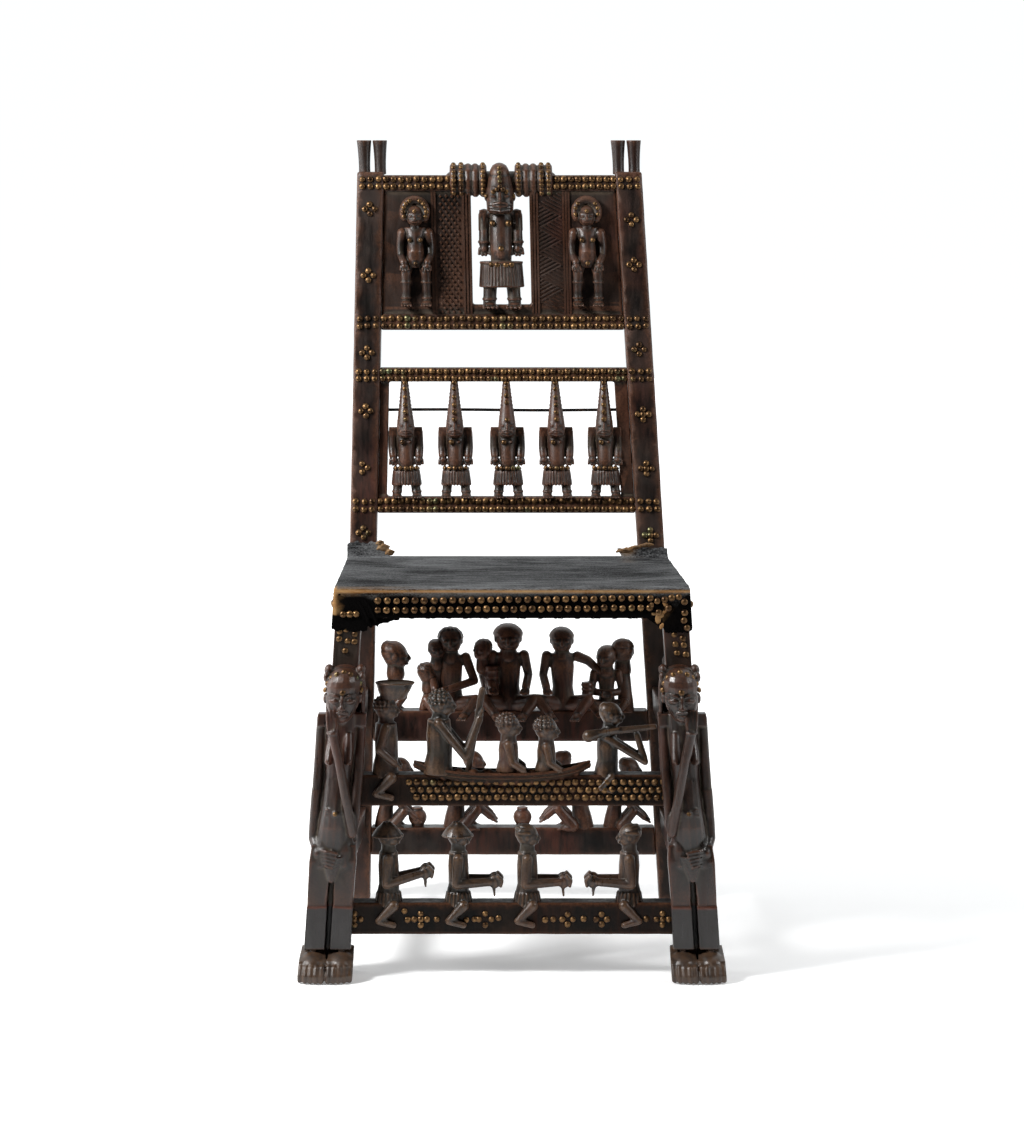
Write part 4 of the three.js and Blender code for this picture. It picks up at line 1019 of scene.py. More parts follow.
@dataclass
class FrontRungs:
    """The two carved rungs between the front legs."""

    wood: bpy.types.Material
    darker_wood: bpy.types.Material
    brass: bpy.types.Material
    low: Bar = field(default_factory=lambda: Bar("front_rung_low", Stance.FRONT, 47, 36, 26))
    middle: Bar = field(default_factory=lambda: Bar("front_rung_middle", Stance.FRONT, 193, 35, 26))

    def masked(self) -> None:
        """Four masked figures squat across the low rung, their hands held out."""
        self.low.build(self.darker_wood, "rung_masked_figures")
        rows = (
            (-138, "brimmed", 90, "held_up"), (-60, "brimmed", 90, "held_out"),
            (17, "oval", 90, "held_out"), (131, "oval", -90, "held_out"),
        )
        for index, (x, cap, turn, arm) in enumerate(rows):
            carving = Carving()
            Figurine(
                (x, MIDDLE, 83), 58, 1.06, 12.5, turn=turn, arms=(arm,), cap=cap, skirt=True,
            ).carve(carving)
            carving.finish(f"masked_figure_{index + 1}", Stance.FRONT, self.wood)

    def canoe(self) -> None:
        """The middle rung: a carrier, a poler and two paddlers in a canoe, and a hunter."""
        self.middle.build(self.darker_wood, "rung_canoe")
        crew = {"turn": 90, "legs": False, "cap": "knots"}
        people = {
            "carrier": Figurine(
                (-140, MIDDLE, 228), 59, 1.02, 13, turn=90, arms=("hanging",), cap="knots", girth=1.1,
            ),
            "poler": Figurine((-81, 6, 233), 59, 1.03, 14, lean=0.05, arms=("poling",), girth=1.2, **crew),
            "paddler_left": Figurine((-4, 6, 234), 32, 1.12, 13, arms=("paddling",), girth=1.75, **crew),
            "paddler_right": Figurine((38, 6, 234), 29, 1.1, 13, arms=("paddling",), girth=1.8, **crew),
            "hunter": Figurine(
                (106, MIDDLE, 228), 44, 1.22, 12.5, turn=90, lean=0.1, arms=("aiming",), girth=1.35,
            ),
        }
        extras = {"carrier": self.basket, "poler": self.pole, "hunter": self.gun}
        for name, person in people.items():
            carving = Carving()
            person.carve(carving)
            if name in extras:
                extras[name](carving)
            carving.finish(name, Stance.FRONT, self.wood)
        carving = Carving()
        self.hull(carving)
        carving.finish("canoe", Stance.FRONT, self.darker_wood)

    def basket(self, carving: Carving) -> None:
        """The basket on the carrier's head, crosshatched outside."""
        carving.stack([
            (-132, MIDDLE, 312, 13, 11), (-131, MIDDLE, 321, 18, 13.5), (-130, MIDDLE, 330, 21, 15),
        ])
        carving.base = Matrix.Translation((-130, MIDDLE, 330))
        carving.hoop((0, 0, 0), 21, 15, 1.2, 0, 24)
        for step in range(16):
            for lean in (-1, 1):
                low, high = 2 * math.pi * step / 16, 2 * math.pi * (step + lean * 1.5) / 16
                foot = (-2 + 13 * math.cos(low), 11 * math.sin(low), -17, 0.6)
                carving.limb([foot, (20.5 * math.cos(high), 14.8 * math.sin(high), -1, 0.6)])
        carving.base = Matrix.Identity(4)

    def pole(self, carving: Carving) -> None:
        """The pole in the poler's hands."""
        carving.limb([(-50, 6, 225, 3.4), (-41, 6, 276, 3.4), (-33, 6, 323, 3.8)])

    def gun(self, carving: Carving) -> None:
        """The hunter's gun, from its stock to its muzzle."""
        carving.limb([(85, 6, 271, 7), (99, 6, 275, 4.4), (126, 5, 278.5, 3.9), (158, 5, 282, 3)])
        carving.limb([(96, 4, 275, 3), (118, 3, 279, 2.2)])

    def hull(self, carving: Carving) -> None:
        """The canoe: a pointed hull with a raised rim and a hollow."""
        for side in (-1, 1):
            rim = []
            for step in range(13):
                along = -1 + step / 6
                wide = 15.2 * math.sqrt(max(1 - abs(along) ** 2.6, 0))
                rim.append((-11 + 97 * along, 6 + side * wide, 230.5 + 12 * abs(along) ** 3, 1.7))
            carving.limb(rim)
        for step in range(12):
            a, b = -1 + step / 6, -1 + (step + 1) / 6
            rows = []
            for along in (a, b):
                wide = 15 * math.sqrt(max(1 - abs(along) ** 2.6, 0)) + 1
                lift = 12 * abs(along) ** 3
                rows.append((-11 + 97 * along, 6, 224.5 + lift, max(wide * 0.62, 1.6)))
            carving.limb(rows, 0.75)
            for side in (-1, 1):
                carving.limb([(x, 6 + side * r * 1.25, z + 2.4, 2.2) for x, _, z, r in rows])

    def tacks(self) -> None:
        """Groups of tacks on both rungs."""
        low = Tacks("tacks_front_rung_low", Stance.FRONT, radius=3.8, seed=5)
        groups = (
            (-176, CROSS), (-102, CROSS), (-30, CROSS[:2] + CROSS[3:]), (62, DIAMOND), (100, DIAMOND),
            (168, CROSS),
        )
        for x, spots in groups:
            low.cluster(x, 0.9, 64.5, spots, 0.95)
        for x, z in (
            (-120, 74), (-116.5, 64), (-84, 64.5), (-51, 64), (-42, 64.8), (-15, 66), (37, 64), (46, 64.5),
            (80, 65), (150, 65),
        ):
            low.at(x, 0.9, z, size=0.95)
        low.build(self.brass)
        middle = Tacks("tacks_front_rung_middle", Stance.FRONT, radius=3.9, seed=6)
        for row, z in enumerate((220, 211.5, 203)):
            middle.row((-114 + 4.2 * row, 0.9, z), (176 - 3 * row, 0.9, z), 8.8)
        middle.build(self.brass)


@dataclass
class BackRungs:
    """The two carved rungs between the back posts, and the four side rungs."""

    wood: bpy.types.Material
    high: Bar = field(default_factory=lambda: Bar("rear_rung_high", Stance.BACK, 195, 37, 26))
    low: Bar = field(default_factory=lambda: Bar("rear_rung_low", Stance.BACK, 57, 33, 24))

    def seat(self, x: float, behind: float = 0) -> Point:
        """A place on top of the high rung, its x measured across the throne."""
        top = self.high.bottom + self.high.height
        return (x - BACK_SHIFT - BACK_LEAN * top, MIDDLE + behind, top)

    def council(self) -> None:
        """Seated figures with attendants on the high rear rung."""
        self.high.build(self.wood, "rung_council")
        sit = Pose.SEATED
        seated = (
            Figurine(
                self.seat(-74), 68, 1.02, 14.5, sit, arms=("on_thigh", "across_belly"), cap="grid", wide=1.15,
            ),
            Figurine(self.seat(-3), 71, 1.0, 15.5, sit, arms=("on_thigh",), wide=1.25),
            Figurine(self.seat(63), 70, 1.0, 14, sit, arms=("on_thigh", "around_child"), wide=1.15),
            Figurine(self.seat(117), 50, 1.0, 13, sit, arms=("folded",), look=-25),
        )
        bust = {"pose": Pose.CROUCHING, "arms": (), "legs": False}
        others = {
            "left": Figurine(self.seat(-150), 48, 1.04, 16, Pose.CROUCHING, 90, arms=()),
            "child": Figurine(self.seat(-106), 28, 1.05, 13, turn=110, cap="grid", **bust),
            "behind_1": Figurine(self.seat(-93, 6), 60, 1.04, 11, turn=10, **bust),
            "behind_2": Figurine(self.seat(-29, 4), 56, 1.08, 12, turn=-40, cap="grid", **bust),
            "right": Figurine(self.seat(139), 52, 1.04, 15, turn=190, **bust),
        }
        people = {f"seated_{index + 1}": person for index, person in enumerate(seated)} | others
        drums = {"seated_2": (-24, 9, 54), "seated_4": (93, 7, 34)}
        for name, person in people.items():
            carving = Carving()
            person.carve(carving)
            if name in drums:
                x, radius, height = drums[name]
                self.drum(carving, self.seat(x, -6), radius, height)
            carving.finish(f"council_{name}", Stance.BACK, self.wood, 0.95, 0.26)

    def drum(self, carving: Carving, at: Point, radius: float, height: float) -> None:
        """A ribbed cup or drum that stands on the rung beside a figure."""
        x, y, z = at
        carving.stack([(x, y, z - 3, radius * 0.75, radius * 0.75), (x, y, z + height, radius, radius)])
        for share in (0.15, 0.45, 0.6, 0.75, 0.9):
            reach = radius * (0.75 + 0.25 * share) + 0.4
            carving.hoop((x, y, z + height * share), reach, reach, 0.8, 0, 12)

    def workers(self) -> None:
        """Four workers with two pots on the low rear rung."""
        self.low.build(self.wood, "rung_workers")
        for index, (x, tall, turn) in enumerate((
            (-153, 56, 90), (-66, 64, 90), (80, 64, -90), (128, 56, 90),
        )):
            carving = Carving()
            place = (x, MIDDLE, self.low.bottom + self.low.height)
            Figurine(place, tall, 1.02, 12.5, Pose.CROUCHING, turn, 0.15, ("reaching",)).carve(carving)
            carving.finish(f"worker_{index + 1}", Stance.BACK, self.wood)
        for index, x in enumerate((-117, 12)):
            carving = Carving()
            carving.ball((x, MIDDLE, 101), (11.5, 11.5, 11))
            carving.stack([(x, MIDDLE, z, radius, radius) for z, radius in ((88, 7), (100, 10), (113, 5.5))])
            carving.hoop((x, MIDDLE, 112), 5.8, 5.8, 1.3)
            carving.finish(f"pot_{index + 1}", Stance.BACK, self.wood)

    def sides(self) -> None:
        """The four side rungs."""
        for side, label in ((-1, "left"), (1, "right")):
            self.side_rung(side, 86, 46, f"low_{label}")
            self.side_rung(side, 232, 48, f"middle_{label}")

    def side_rung(self, side: int, bottom: float, tall: float, name: str) -> None:
        """One side rung, from a front leg to a back post, with a crouching figure.

        Args:
            side: -1 for the left and 1 for the right.
            bottom: Height of its lower edge.
            tall: The figure's height from the rung to its shoulders.
            name: The end of its name.
        """
        half, high, share = 10, 30, 0.45
        corners, ends = [], []
        for z in (bottom, bottom + high):
            front, rear = side * front_half(z), side * back_half(z) + BACK_SHIFT + BACK_LEAN * z
            near, far = FRONT_POST[1] + GAP, DEPTH + RECLINE * z - GAP
            corners += [
                (front - half, near, z), (front + half, near, z),
                (rear + half, far, z), (rear - half, far, z),
            ]
            ends = [(front, near - GAP), (rear, far + GAP)]
        Bench.hew(f"side_rung_{name}_bar", corners, Stance.FRONT, self.wood, f"side_rung_{name}")
        x, y = Vector(ends[0]).lerp(Vector(ends[1]), share)
        carving = Carving()
        Figurine((x, y, bottom + high), tall, 1.02, 12, Pose.CROUCHING, arms=("reaching",)).carve(carving)
        carving.finish(f"side_figure_{name}", Stance.FRONT, self.wood)


@dataclass
class FrontLegs:
    """The front legs: each a standing figure carved from the post, its bent arm on the inner side."""

    wood: bpy.types.Material
    brass: bpy.types.Material

    def carve(self, side: int) -> None:
        """Carves one leg; side is -1 for the left one and 1 for the right one."""
        label = "left" if side < 0 else "right"
        stance = Stance(side)
        body = Carving()
        self.post(body)
        self.legs(body)
        self.torso(body)
        self.arms(body)
        lower = body.fuse(f"front_leg_{label}_body", stance, 1.15, 0.3)
        self.head(body)
        upper = body.fuse(f"front_leg_{label}_head", stance, 0.75, 0.28)
        Bench.dress(Bench.join([lower, upper], f"front_leg_{label}_carving"), self.wood, f"front_leg_{label}")

    def post(self, body: Carving) -> None:
        """The square post behind the figure, up to the seat."""
        rows = ((0, 17.5), (298, FRONT_POST[0] / 2), (SEAT_FRONT, FRONT_POST[0] / 2))
        body.tower([(z, -half, half, 0, FRONT_POST[1]) for z, half in rows])

    def legs(self, body: Carving) -> None:
        """Squared legs side by side with a deep groove between them, and feet with five toes."""
        rows = (
            (34, 11.4, -17.5, 6), (82, 11.2, -17.5, 6), (84, 10.8, -17, 6), (134, 11.6, -18, 6),
            (152, 10, -15, 4),
        )
        hips = ((12.4, -7, 128, 12.6, 12), (11, -6, 146, 13, 13), (8, -4, 160, 12, 12))
        for turn in (-1, 1):
            x = turn * 14.4
            body.tower([(z, x - half, x + half, near, far) for z, half, near, far in rows])
            body.stack([(turn * across, y, z, wide, deep) for across, y, z, wide, deep in hips])
            self.foot(body, turn)

    def foot(self, body: Carving, turn: int) -> None:
        """A heavy squared foot with an arched top and toes cut into its front."""
        x = turn * 15.6
        mesh = Bench.shape("slab").copy()
        for vertex in mesh.vertices:
            heel = vertex.co.y > 0
            half = 13.8 if heel else 14.8
            high = 34 if heel else 24
            vertex.co = (
                x + math.copysign(half, vertex.co.x), 8 if heel else -30, high if vertex.co.z > 0 else 0.6,
            )
        body.lay(mesh, Matrix.Identity(4))
        bpy.data.meshes.remove(mesh)
        body.ball((x, -18, 22), (14.4, 18, 9), (14, 0, 0))
        for step in range(5):
            across = x + turn * (step - 2) * 5.9
            reach = (-41, -41.5, -40.5, -39, -36)[step if turn > 0 else step]
            toe = ((-24, 19.5, 3.1), (reach + 5, 17.5, 3.1), (reach + 1, 9, 3.3), (reach + 1, 3.8, 3.1))
            body.limb([(across, *joint) for joint in toe])

    def torso(self, body: Carving) -> None:
        """A long belly with a navel scar, hanging breasts, shoulders and neck."""
        rows = (
            (118, 15, 12, 0), (134, 19, 15, -2), (156, 20.5, 17, -3), (172, 18.5, 18.5, -5),
            (188, 16.5, 18.5, -6), (206, 15.2, 16, -4.5), (227, 14.6, 13, -2), (246, 15.5, 13, -2),
            (272, 17, 12, -1), (298, 18, 11, 0),
        )
        body.stack([(0, y, z, wide, deep) for z, wide, deep, y in rows])
        body.block((284, -26.5, 26.5, -6, 9), (298, -27, 27, -6, 9))
        body.ball((0, 0, 296), (26, 8, 4))
        body.limbs([
            (8.6, -9, 274, 5.2), (9.63, -16, 256, 6.2), (10.32, -21, 248, 5.2), (10.32, -25.5, 245.5, 2.1),
        ])
        body.limb([(0, -4, 292, 9.5), (0, -8, 306, 9)])
        body.ball((0, -23.5, 189), (3.4, 3, 3))
        for lift in (-3.4, 0, 3.4):
            scar = [
                (3.5, -23, 189 + lift * 0.4, 0.8), (9, -21.4, 190.5 + lift, 0.75),
                (12, -19.2, 189 + lift, 0.6),
            ]
            body.limbs(scar)
        for step in range(4):
            body.limb([(-1.5 + step, -22.5, 184 - step, 0.6), (-1.5 + step, -21.5, 176 - step, 0.6)])
        self.apron(body)

    def apron(self, body: Carving) -> None:
        """The ribbed wedge under the belly."""
        for step in range(8):
            z = 138 - step * 3.6
            end = (-19 + abs(step - 3) * 0.15, z + 1, 1.5)
            body.bow(9.5 - step * 1.05, end, (-21.5 + step * 0.5, z - 1.4, 1.8))
        body.ball((0, -13, 127), (9, 7, 15))

    def arms(self, body: Carving) -> None:
        """The outer arm with its hand under the belly, and the bent arm with its hand at the cheek."""
        body.limb([(-22.4, 1, 292, 5.6), (-22.4, 1, 250, 5.6), (-22.6, 1, 212, 5.8)])
        body.limb([(-22.6, 1, 211, 6.4), (-23.2, 0.5, 178, 6.3), (-22.8, -1, 158, 6.4)])
        body.limb([(-22.8, -1, 158, 6.4), (-17, -14, 143, 5.5)])
        for step in range(5):
            z = 149.5 - step * 4
            start = (-20 + step * 1.1, -13, z - 2, 2.1)
            body.limb([start, (-8 + step * 0.5, -21, z - 3.4, 2.1), (4.5 - step * 1.3, -22.5, z - 5.4, 1.8)])
        body.limb([(21.6, 1, 292, 5.6), (22.4, -3, 235, 5.6), (20.6, -14, 175, 5.6), (20, -17.5, 167, 5.4)])
        body.limb([(20, -17.5, 166, 5.4), (12, -24, 200, 5.3), (2, -29, 244, 5.0), (-7.5, -31, 280, 5.6)])
        for step in range(4):
            x = -14.5 + step * 3.7
            tip = (x - 1.2, -29.5, 306 - abs(step - 1.5), 1.8)
            body.limb([(x * 0.8 - 1, -31.5, 283, 2.0), (x, -31.5, 296, 2.05), tip])
        body.limb([(-5, -33, 282, 2), (-4, -33.5, 291, 1.9), (-5.5, -32.5, 297, 1.5)])
        body.hoop((-8.3, -31, 281), 6.3, 6, 0.8, 0, 12)

    def head(self, body: Carving) -> None:
        """A tapering face with a shining forehead, coffee-bean eyes and lips, and locks of hair behind."""
        body.ball((0, -11, 331), (19.6, 21.5, 20))
        body.ball((0, -12, 318), (18.4, 19, 16))
        body.stack([
            (0, -17, 292.5, 8.5, 8), (0, -16, 299, 13.5, 13),
            (0, -14, 309, 17.6, 17.2), (0, -12, 320, 19, 20),
        ])
        body.ball((0, -25.5, 296.5), (7.5, 6.5, 4.6))
        body.limb([(0, -32.6, 321, 1.7), (0, -33.8, 313, 2.1), (0, -34.8, 308.5, 2.9)])
        body.pair((2.6, -33, 308), (2.1, 2.2, 1.7))
        body.pair((8.6, -27.6, 316), (6.8, 4.6, 3.6), (0, -8, 16))
        for lift in (2.0, -2.2):
            body.limbs([(3, -31.5, 315.6, 0.85), (8.6, -31.2, 316.4 + lift, 0.85), (14.6, -25.5, 317, 0.85)])
        body.limbs([(4.2, -31.6, 316, 0.7), (8.6, -31.9, 316.2, 0.75), (13.4, -27, 316.8, 0.7)])
        for z in (320.1, 321.9):
            body.limbs([(3.2, -31.8, z, 0.6), (8.6, -31.2, z + 1.7, 0.65), (15.4, -24.5, z + 1, 0.6)])
        body.limbs([(15, -23.8, 314, 0.6), (13.5, -25, 307, 0.6), (10.5, -26.5, 301, 0.6)])
        body.pair((19.4, -6, 316), (2.6, 5.2, 6))
        body.pair((17.6, -3, 347), (5.2, 6.4, 6.6))
        body.pair((19.6, -9, 340), (3.4, 5, 6))
        body.bow(7.2, (-29.6, 302.6, 1.3), (-32.2, 304.2, 1.7))
        body.bow(6.6, (-29.6, 300.6, 1.2), (-31.9, 299.4, 1.7))
        body.ball((0, 0, 338), (19, 14, 15))
        for step in range(7):
            x = -15 + step * 5
            body.limb([
                (x, 4, 348, 2.6), (x * 1.15, 11, 330, 2.7),
                (x * 1.15, 15, 305, 2.6), (x * 1.05, 17, 286, 2.2),
            ])
        for step in range(4):
            y = -3 + step * 5
            body.limb([
                (18, y, 345, 2.2), (21.5, y + 1, 326, 2.3), (22.5, y + 3, 300, 2.1), (21.5, y + 4, 287, 1.7),
            ])

    def tacks(self, side: int) -> None:
        """The tacks of one leg: hairline, brow, navel and the post above the head."""
        label = "left" if side < 0 else "right"
        tacks = Tacks(f"tacks_front_leg_{label}", Stance(side), radius=3.7, seed=11 + side)
        for x, z in ((0, 347), (0, 340), (0, 333), (0, 326)):
            tacks.at(x, -30.6 + (z - 326) * 0.42, z, (0, -1, 0.35), 0.95)
        for x, y, z in ((7.5, -23, 345), (13.5, -18, 340.5), (17.6, -13.5, 333.5), (19.6, -12, 326)):
            for turn in (-1, 1):
                tacks.at(turn * x, y, z, (turn * x * 0.06, -1, 0.4), 0.9)
        tacks.at(0, -26.4, 189.5, (0, -1, 0.1), 0.75)
        over = ((-8, 389), (-1.3, 391.5), (8, 386), (-8, 381), (1, 379), (8, 378), (-1, 368))
        if side > 0:
            over = ((3, 386), (-6.3, 381.5), (2.5, 375), (-6.8, 374), (1, 365), (-8.5, 364))
        for x, z in over:
            tacks.at(x, 0.2, z)
        tacks.build(self.brass)


@dataclass
class Back:
    """The leaning back: posts with finials, and the two carved panels."""

    wood: bpy.types.Material
    brass: bpy.types.Material
    iron: bpy.types.Material
    attendants: dict = field(default_factory=lambda: {-1: (-105, 1, 723.5), 1: (106, 1, 723.5)})

    def posts(self) -> None:
        """Two tapering posts, each with a pair of trumpet-shaped finials."""
        for side, label in ((-1, "left"), (1, "right")):
            corners = []
            for z in (0, BACK_HEIGHT):
                left, right = (side * back_half(z) + turn * BACK_POST[0] / 2 for turn in (-1, 1))
                corners += [(left, 0, z), (right, 0, z), (right, BACK_POST[1], z), (left, BACK_POST[1], z)]
            Bench.hew(f"back_post_{label}_shaft", corners, Stance.BACK, self.wood, f"back_post_{label}")
            for index, turn in enumerate((-1, 1)):
                carving = Carving()
                x = side * (back_half(BACK_HEIGHT) - 2) + turn * 9.7
                profile = ((885, 7.3), (893, 7.1), (902, 7.3), (911, 7.8), (919, 8.4), (926.6, 9.2))
                carving.stack([(x, MIDDLE, z, radius, radius) for z, radius in profile])
                carving.finish(f"finial_{label}_{index + 1}", Stance.BACK, self.wood, 0.8, 0.3)

    def rail(
        self, carving: Carving, low: float, high: float, near: float, far: float, trim: float = 0,
    ) -> None:
        """A board from post to post between two heights, its ends cut short by trim."""
        ends = [(z, trim - panel_half(z), panel_half(z) - trim, near, far) for z in (low, high)]
        carving.tower(ends)

    def cheek(self, carving: Carving, side: int, low: Row, high: Row) -> None:
        """An upright beside a post; low and high are its height, inner edge, front and rear."""
        ends = []
        for z, inner, near, far in (low, high):
            left, right = sorted((side * inner, side * panel_half(z)))
            ends.append((z, left, right, near, far))
        carving.tower(ends)

    def upper_board(self) -> None:
        """The upper panel's board, with its window and its two raised borders."""
        carving = Carving()
        self.rail(carving, 695, 726, 5, 21)
        self.rail(carving, 862, 884, 5, 21)
        for side in (-1, 1):
            self.cheek(carving, side, (726, 36, 5, 21), (862, 36, 5, 21))
        self.rail(carving, 695.3, 714, 2.6, 8, 1)
        self.rail(carving, 865, 883.8, 2.6, 8, 1)
        carving.finish("upper_panel_board", Stance.BACK, self.wood, 1.5, 0.24, 1, node="back_panel_upper")

    def upper_bands(self) -> None:
        """The carved bands beside the window: lozenges on the left, hatched triangles on the right."""
        carving = Carving()
        low, high, pitch = 715, 864, 4.7
        stud = Bench.shape("slab").copy()
        for vertex in stud.vertices:
            wide = 5.9 * (0.35 if vertex.co.y < 0 else 1)
            vertex.co = (vertex.co.x * wide, vertex.co.y * 4.8, vertex.co.z * wide)
        lozenge = Matrix.Diagonal((0.78, 1, 1, 1)) @ Matrix.Rotation(math.radians(45), 4, "Y")
        for row in range(int((high - low) / pitch)):
            for column in range(4):
                x = -73.6 + column * 7.2 + (3.6 if row % 2 else 0)
                if x <= -48.5:
                    carving.lay(stud, Matrix.Translation((x, 5, low + pitch * (row + 0.5))) @ lozenge)
        bpy.data.meshes.remove(stud)
        for x in (-84, -80.6, -45.6, -41.8, -37.9, 38, 41.6, 45.3, 77.4, 80.8, 84.2):
            carving.slab((x - 1.25, 3.2, low), (x + 1.25, 6, high))
        self.hatching(carving, 47.5, 75.5, low, high)
        made = Bench.join(carving.lumps, "upper_panel_carved_bands")
        depths = Bench.read(made.data, "co")[:, 1]
        Bench.place(made, Stance.BACK.matrix())
        for name, near, far in (("ridge", 4.2, 2.8), ("hollow", 3.9, 5.2)):
            Bench.note(made, name, np.clip((depths - near) / (far - near), 0, 1) * 0.8)
        Bench.smooth(made, 35)
        Bench.dress(made, self.wood)

    def hatching(self, carving: Carving, left: float, right: float, low: float, high: float) -> None:
        """Triangles between zigzag lines, each filled with lines along one of its sides.

        Args:
            carving: The carving that gets them.
            left: Left edge of the band.
            right: Its right edge.
            low: Its lower end.
            high: Its upper end.
        """
        count, lines = 10, 6
        step = (high - low) / count
        edges = (right, left)
        turns = [Vector((edges[index % 2], low + index * step)) for index in range(count + 1)]
        for first, across, last in zip(turns, turns[1:], turns[2:]):
            for index in range(lines):
                start, end = first.lerp(last, index / lines), across.lerp(last, index / lines)
                if (end - start).length >= 3:
                    carving.limb([(start.x, 4.7, start.y, 1.05), (end.x, 4.7, end.y, 1.05)], 1.3)

    def ancestor(self) -> None:
        """The ancestor in the window, in a peaked helmet, a belt and a long pleated skirt."""
        carving = Carving()
        anatomy = Anatomy(carving)
        carving.base = Matrix.Translation((0, 8, 720.5))
        carving.limbs([(14, 0, 32, 8.6), (15, -1, 14, 8.2), (15.6, -2, 6, 8)])
        carving.limbs([(20, 1, 116, 6.6), (20.4, 1, 96, 6.4), (20.6, 0, 80, 6.6)], 1.1)
        for side in (-1, 1):
            carving.hoop((side * 15.2, -1, 12.5), 8.4, 8.4, 1.2, 0, 14)
            anatomy.foot((side * 15.8, 0, 0), 17, 9, 9, side * -6)
            carving.hoop((side * 20.6, 0, 82), 7, 7, 1.2, 0, 12)
            carving.slab((side * 20 - 6, -5, 112), (side * 20 + 6, 7, 121))
            anatomy.hand((side * 20.6, -1, 80), (side * 20.8, -4, 66), (1, 0, 0), 6.4, 2.0)
        carving.stack([
            (0, 0, 27, 26.5, 15.5), (0, 0, 29, 27, 16), (0, 0, 54, 25, 14.5), (0, 0, 58, 25.6, 15),
        ])
        carving.hoop((0, 0, 28), 26.8, 15.6, 1.3, 0, 24)
        carving.hoop((0, 0, 57), 25.4, 14.8, 1.6, 0, 24)
        carving.fringe(40, (25, 14.6, 54, 1.25), (26.6, 15.6, 29, 1.35))
        carving.stack([
            (0, -1, 56, 12.6, 10.5), (0, -3, 72, 13.6, 12.5), (0, -2, 88, 13.4, 11.5), (0, -1, 106, 13.4, 10),
            (0, 0, 120, 13, 9),
        ])
        carving.ball((0, -4, 71), (11, 12, 14))
        carving.ball((0, -14.5, 75), (2, 2.4, 2.4))
        carving.pair((9.6, -9.5, 105), (2.6, 2.6, 3))
        carving.limbs([(14, -2, 117, 4), (8, -2, 118, 4)])
        self.helmet(carving)
        carving.finish("ancestor", Stance.BACK, self.wood, 0.85, 0.3)

    def helmet(self, carving: Carving) -> None:
        """The ancestor's wide face with its striated cheeks, under the peaked helmet."""
        rows = (
            (-10.5, 117, 13, 10.5), (-10.5, 122, 16.4, 13.5), (-10, 134, 17.2, 14.5), (-9, 146, 16.4, 14),
            (-7, 160, 14, 12.5), (-4, 176, 8.6, 9.5),
        )
        carving.stack([(0, *row) for row in rows])
        carving.ball((0, -7, 165), (12.4, 12, 14))
        for lift, wide in ((0, 12.6), (2.6, 13.2), (5.2, 13.6)):
            carving.bow(wide, (-19, 121 + lift * 1.4, 0.9), (-26, 119.6 + lift, 1.0))
        carving.bow(8.5, (-24.2, 128.6, 1.4), (-26.6, 130, 2))
        carving.bow(8.5, (-24.2, 126.4, 1.3), (-26.4, 125.6, 1.9))
        carving.limb([(0, -24, 142, 1.5), (0, -26.4, 134.5, 2.3)])
        for lift in (0, 2.3, 4.6, 6.9, 9.2):
            line = ((2, -24, 137, 0.65), (8, -22, 140, 0.75), (15, -15, 137.5, 0.65))
            carving.limbs([(x, y + lift * 0.16, z + lift, radius) for x, y, z, radius in line])
        carving.pair((7.6, -22.3, 137.6), (4, 2, 1.7), (0, -12, 0))
        carving.pair((17, -9, 137), (2.4, 4, 5))

    def wings(self) -> None:
        """The winged coiffure: rolls of hair on each side of the helmet."""
        carving = Carving()
        roll = (
            (8, 861.5, 4.6), (3.4, 869, 4.9), (1.8, 878, 5), (3.4, 887.5, 4.9), (10, 893.8, 4.7),
            (18, 893.8, 4.7), (22, 886, 4.6), (22, 870, 4.6), (16, 861.5, 4.6),
        )
        for x in (-56.7, -47.3, -38.8, -29.9, -20.4, 23.2, 32.4, 41.5, 51.4, 60.2):
            carving.limb([(x, *spot) for spot in roll])
        carving.limb([(-57, 12, 878, 11), (60, 12, 878, 11)])
        carving.finish("winged_coiffure", Stance.BACK, self.wood, 0.9, 0.28)

    def attendant(self, side: int) -> None:
        """One attendant on the panel's face, arms down and hands on the thighs, under a studded crown."""
        carving = Carving()
        anatomy = Anatomy(carving)
        home = Matrix.Translation(self.attendants[side])
        carving.base = home
        carving.limbs([
            (9, -1, 52, 7), (12, -8, 42, 6.2), (12.4, -7.5, 32, 5.4), (12.6, -2, 18, 5.2), (13, -1, 6, 5),
        ])
        carving.limbs([(16, 0, 90, 6.4), (18.4, 0, 76, 5.2), (18.2, -1, 64, 4.8), (14.5, -9, 55, 4.6)])
        carving.pair((6.6, -10.5, 82), (2.6, 2.8, 3))
        for turn in (-1, 1):
            carving.hoop((turn * 12.4, -6.5, 30.5), 5.9, 5.9, 0.9, 0, 12)
            carving.hoop((turn * 12.9, -1.5, 11), 5.6, 5.6, 1.0, 0, 12)
            anatomy.foot((turn * 13.2, 0, 0), 15, 6.4, 8, turn * -5)
            anatomy.hand((turn * 14.5, -9.5, 55), (turn * 13.4, -13.5, 44.5), (1, 0, 0), 5, 1.5)
        rows = (
            (-1, 48, 9.5, 8.5), (-4, 58, 11, 11), (-5, 68, 10.4, 12), (-3, 78, 9.6, 10), (-1, 90, 11.5, 8.5),
            (0, 97, 13.5, 7),
        )
        carving.stack([(0, *row) for row in rows])
        carving.ball((0, -5, 66), (9.6, 11.5, 12))
        carving.ball((0, -12.6, 53), (2.4, 2.8, 3.4))
        carving.limb([(0, -2, 94, 6), (0, -4, 103, 5.4)])
        carving.base = home @ Matrix.Translation((0, -3.5, 99))
        anatomy.face((0, 0, 0), 11.6, 0.6, 0.24)
        carving.ball((0, 1, 16), (10, 10, 9))
        for lift in (0, 2, 4, 6):
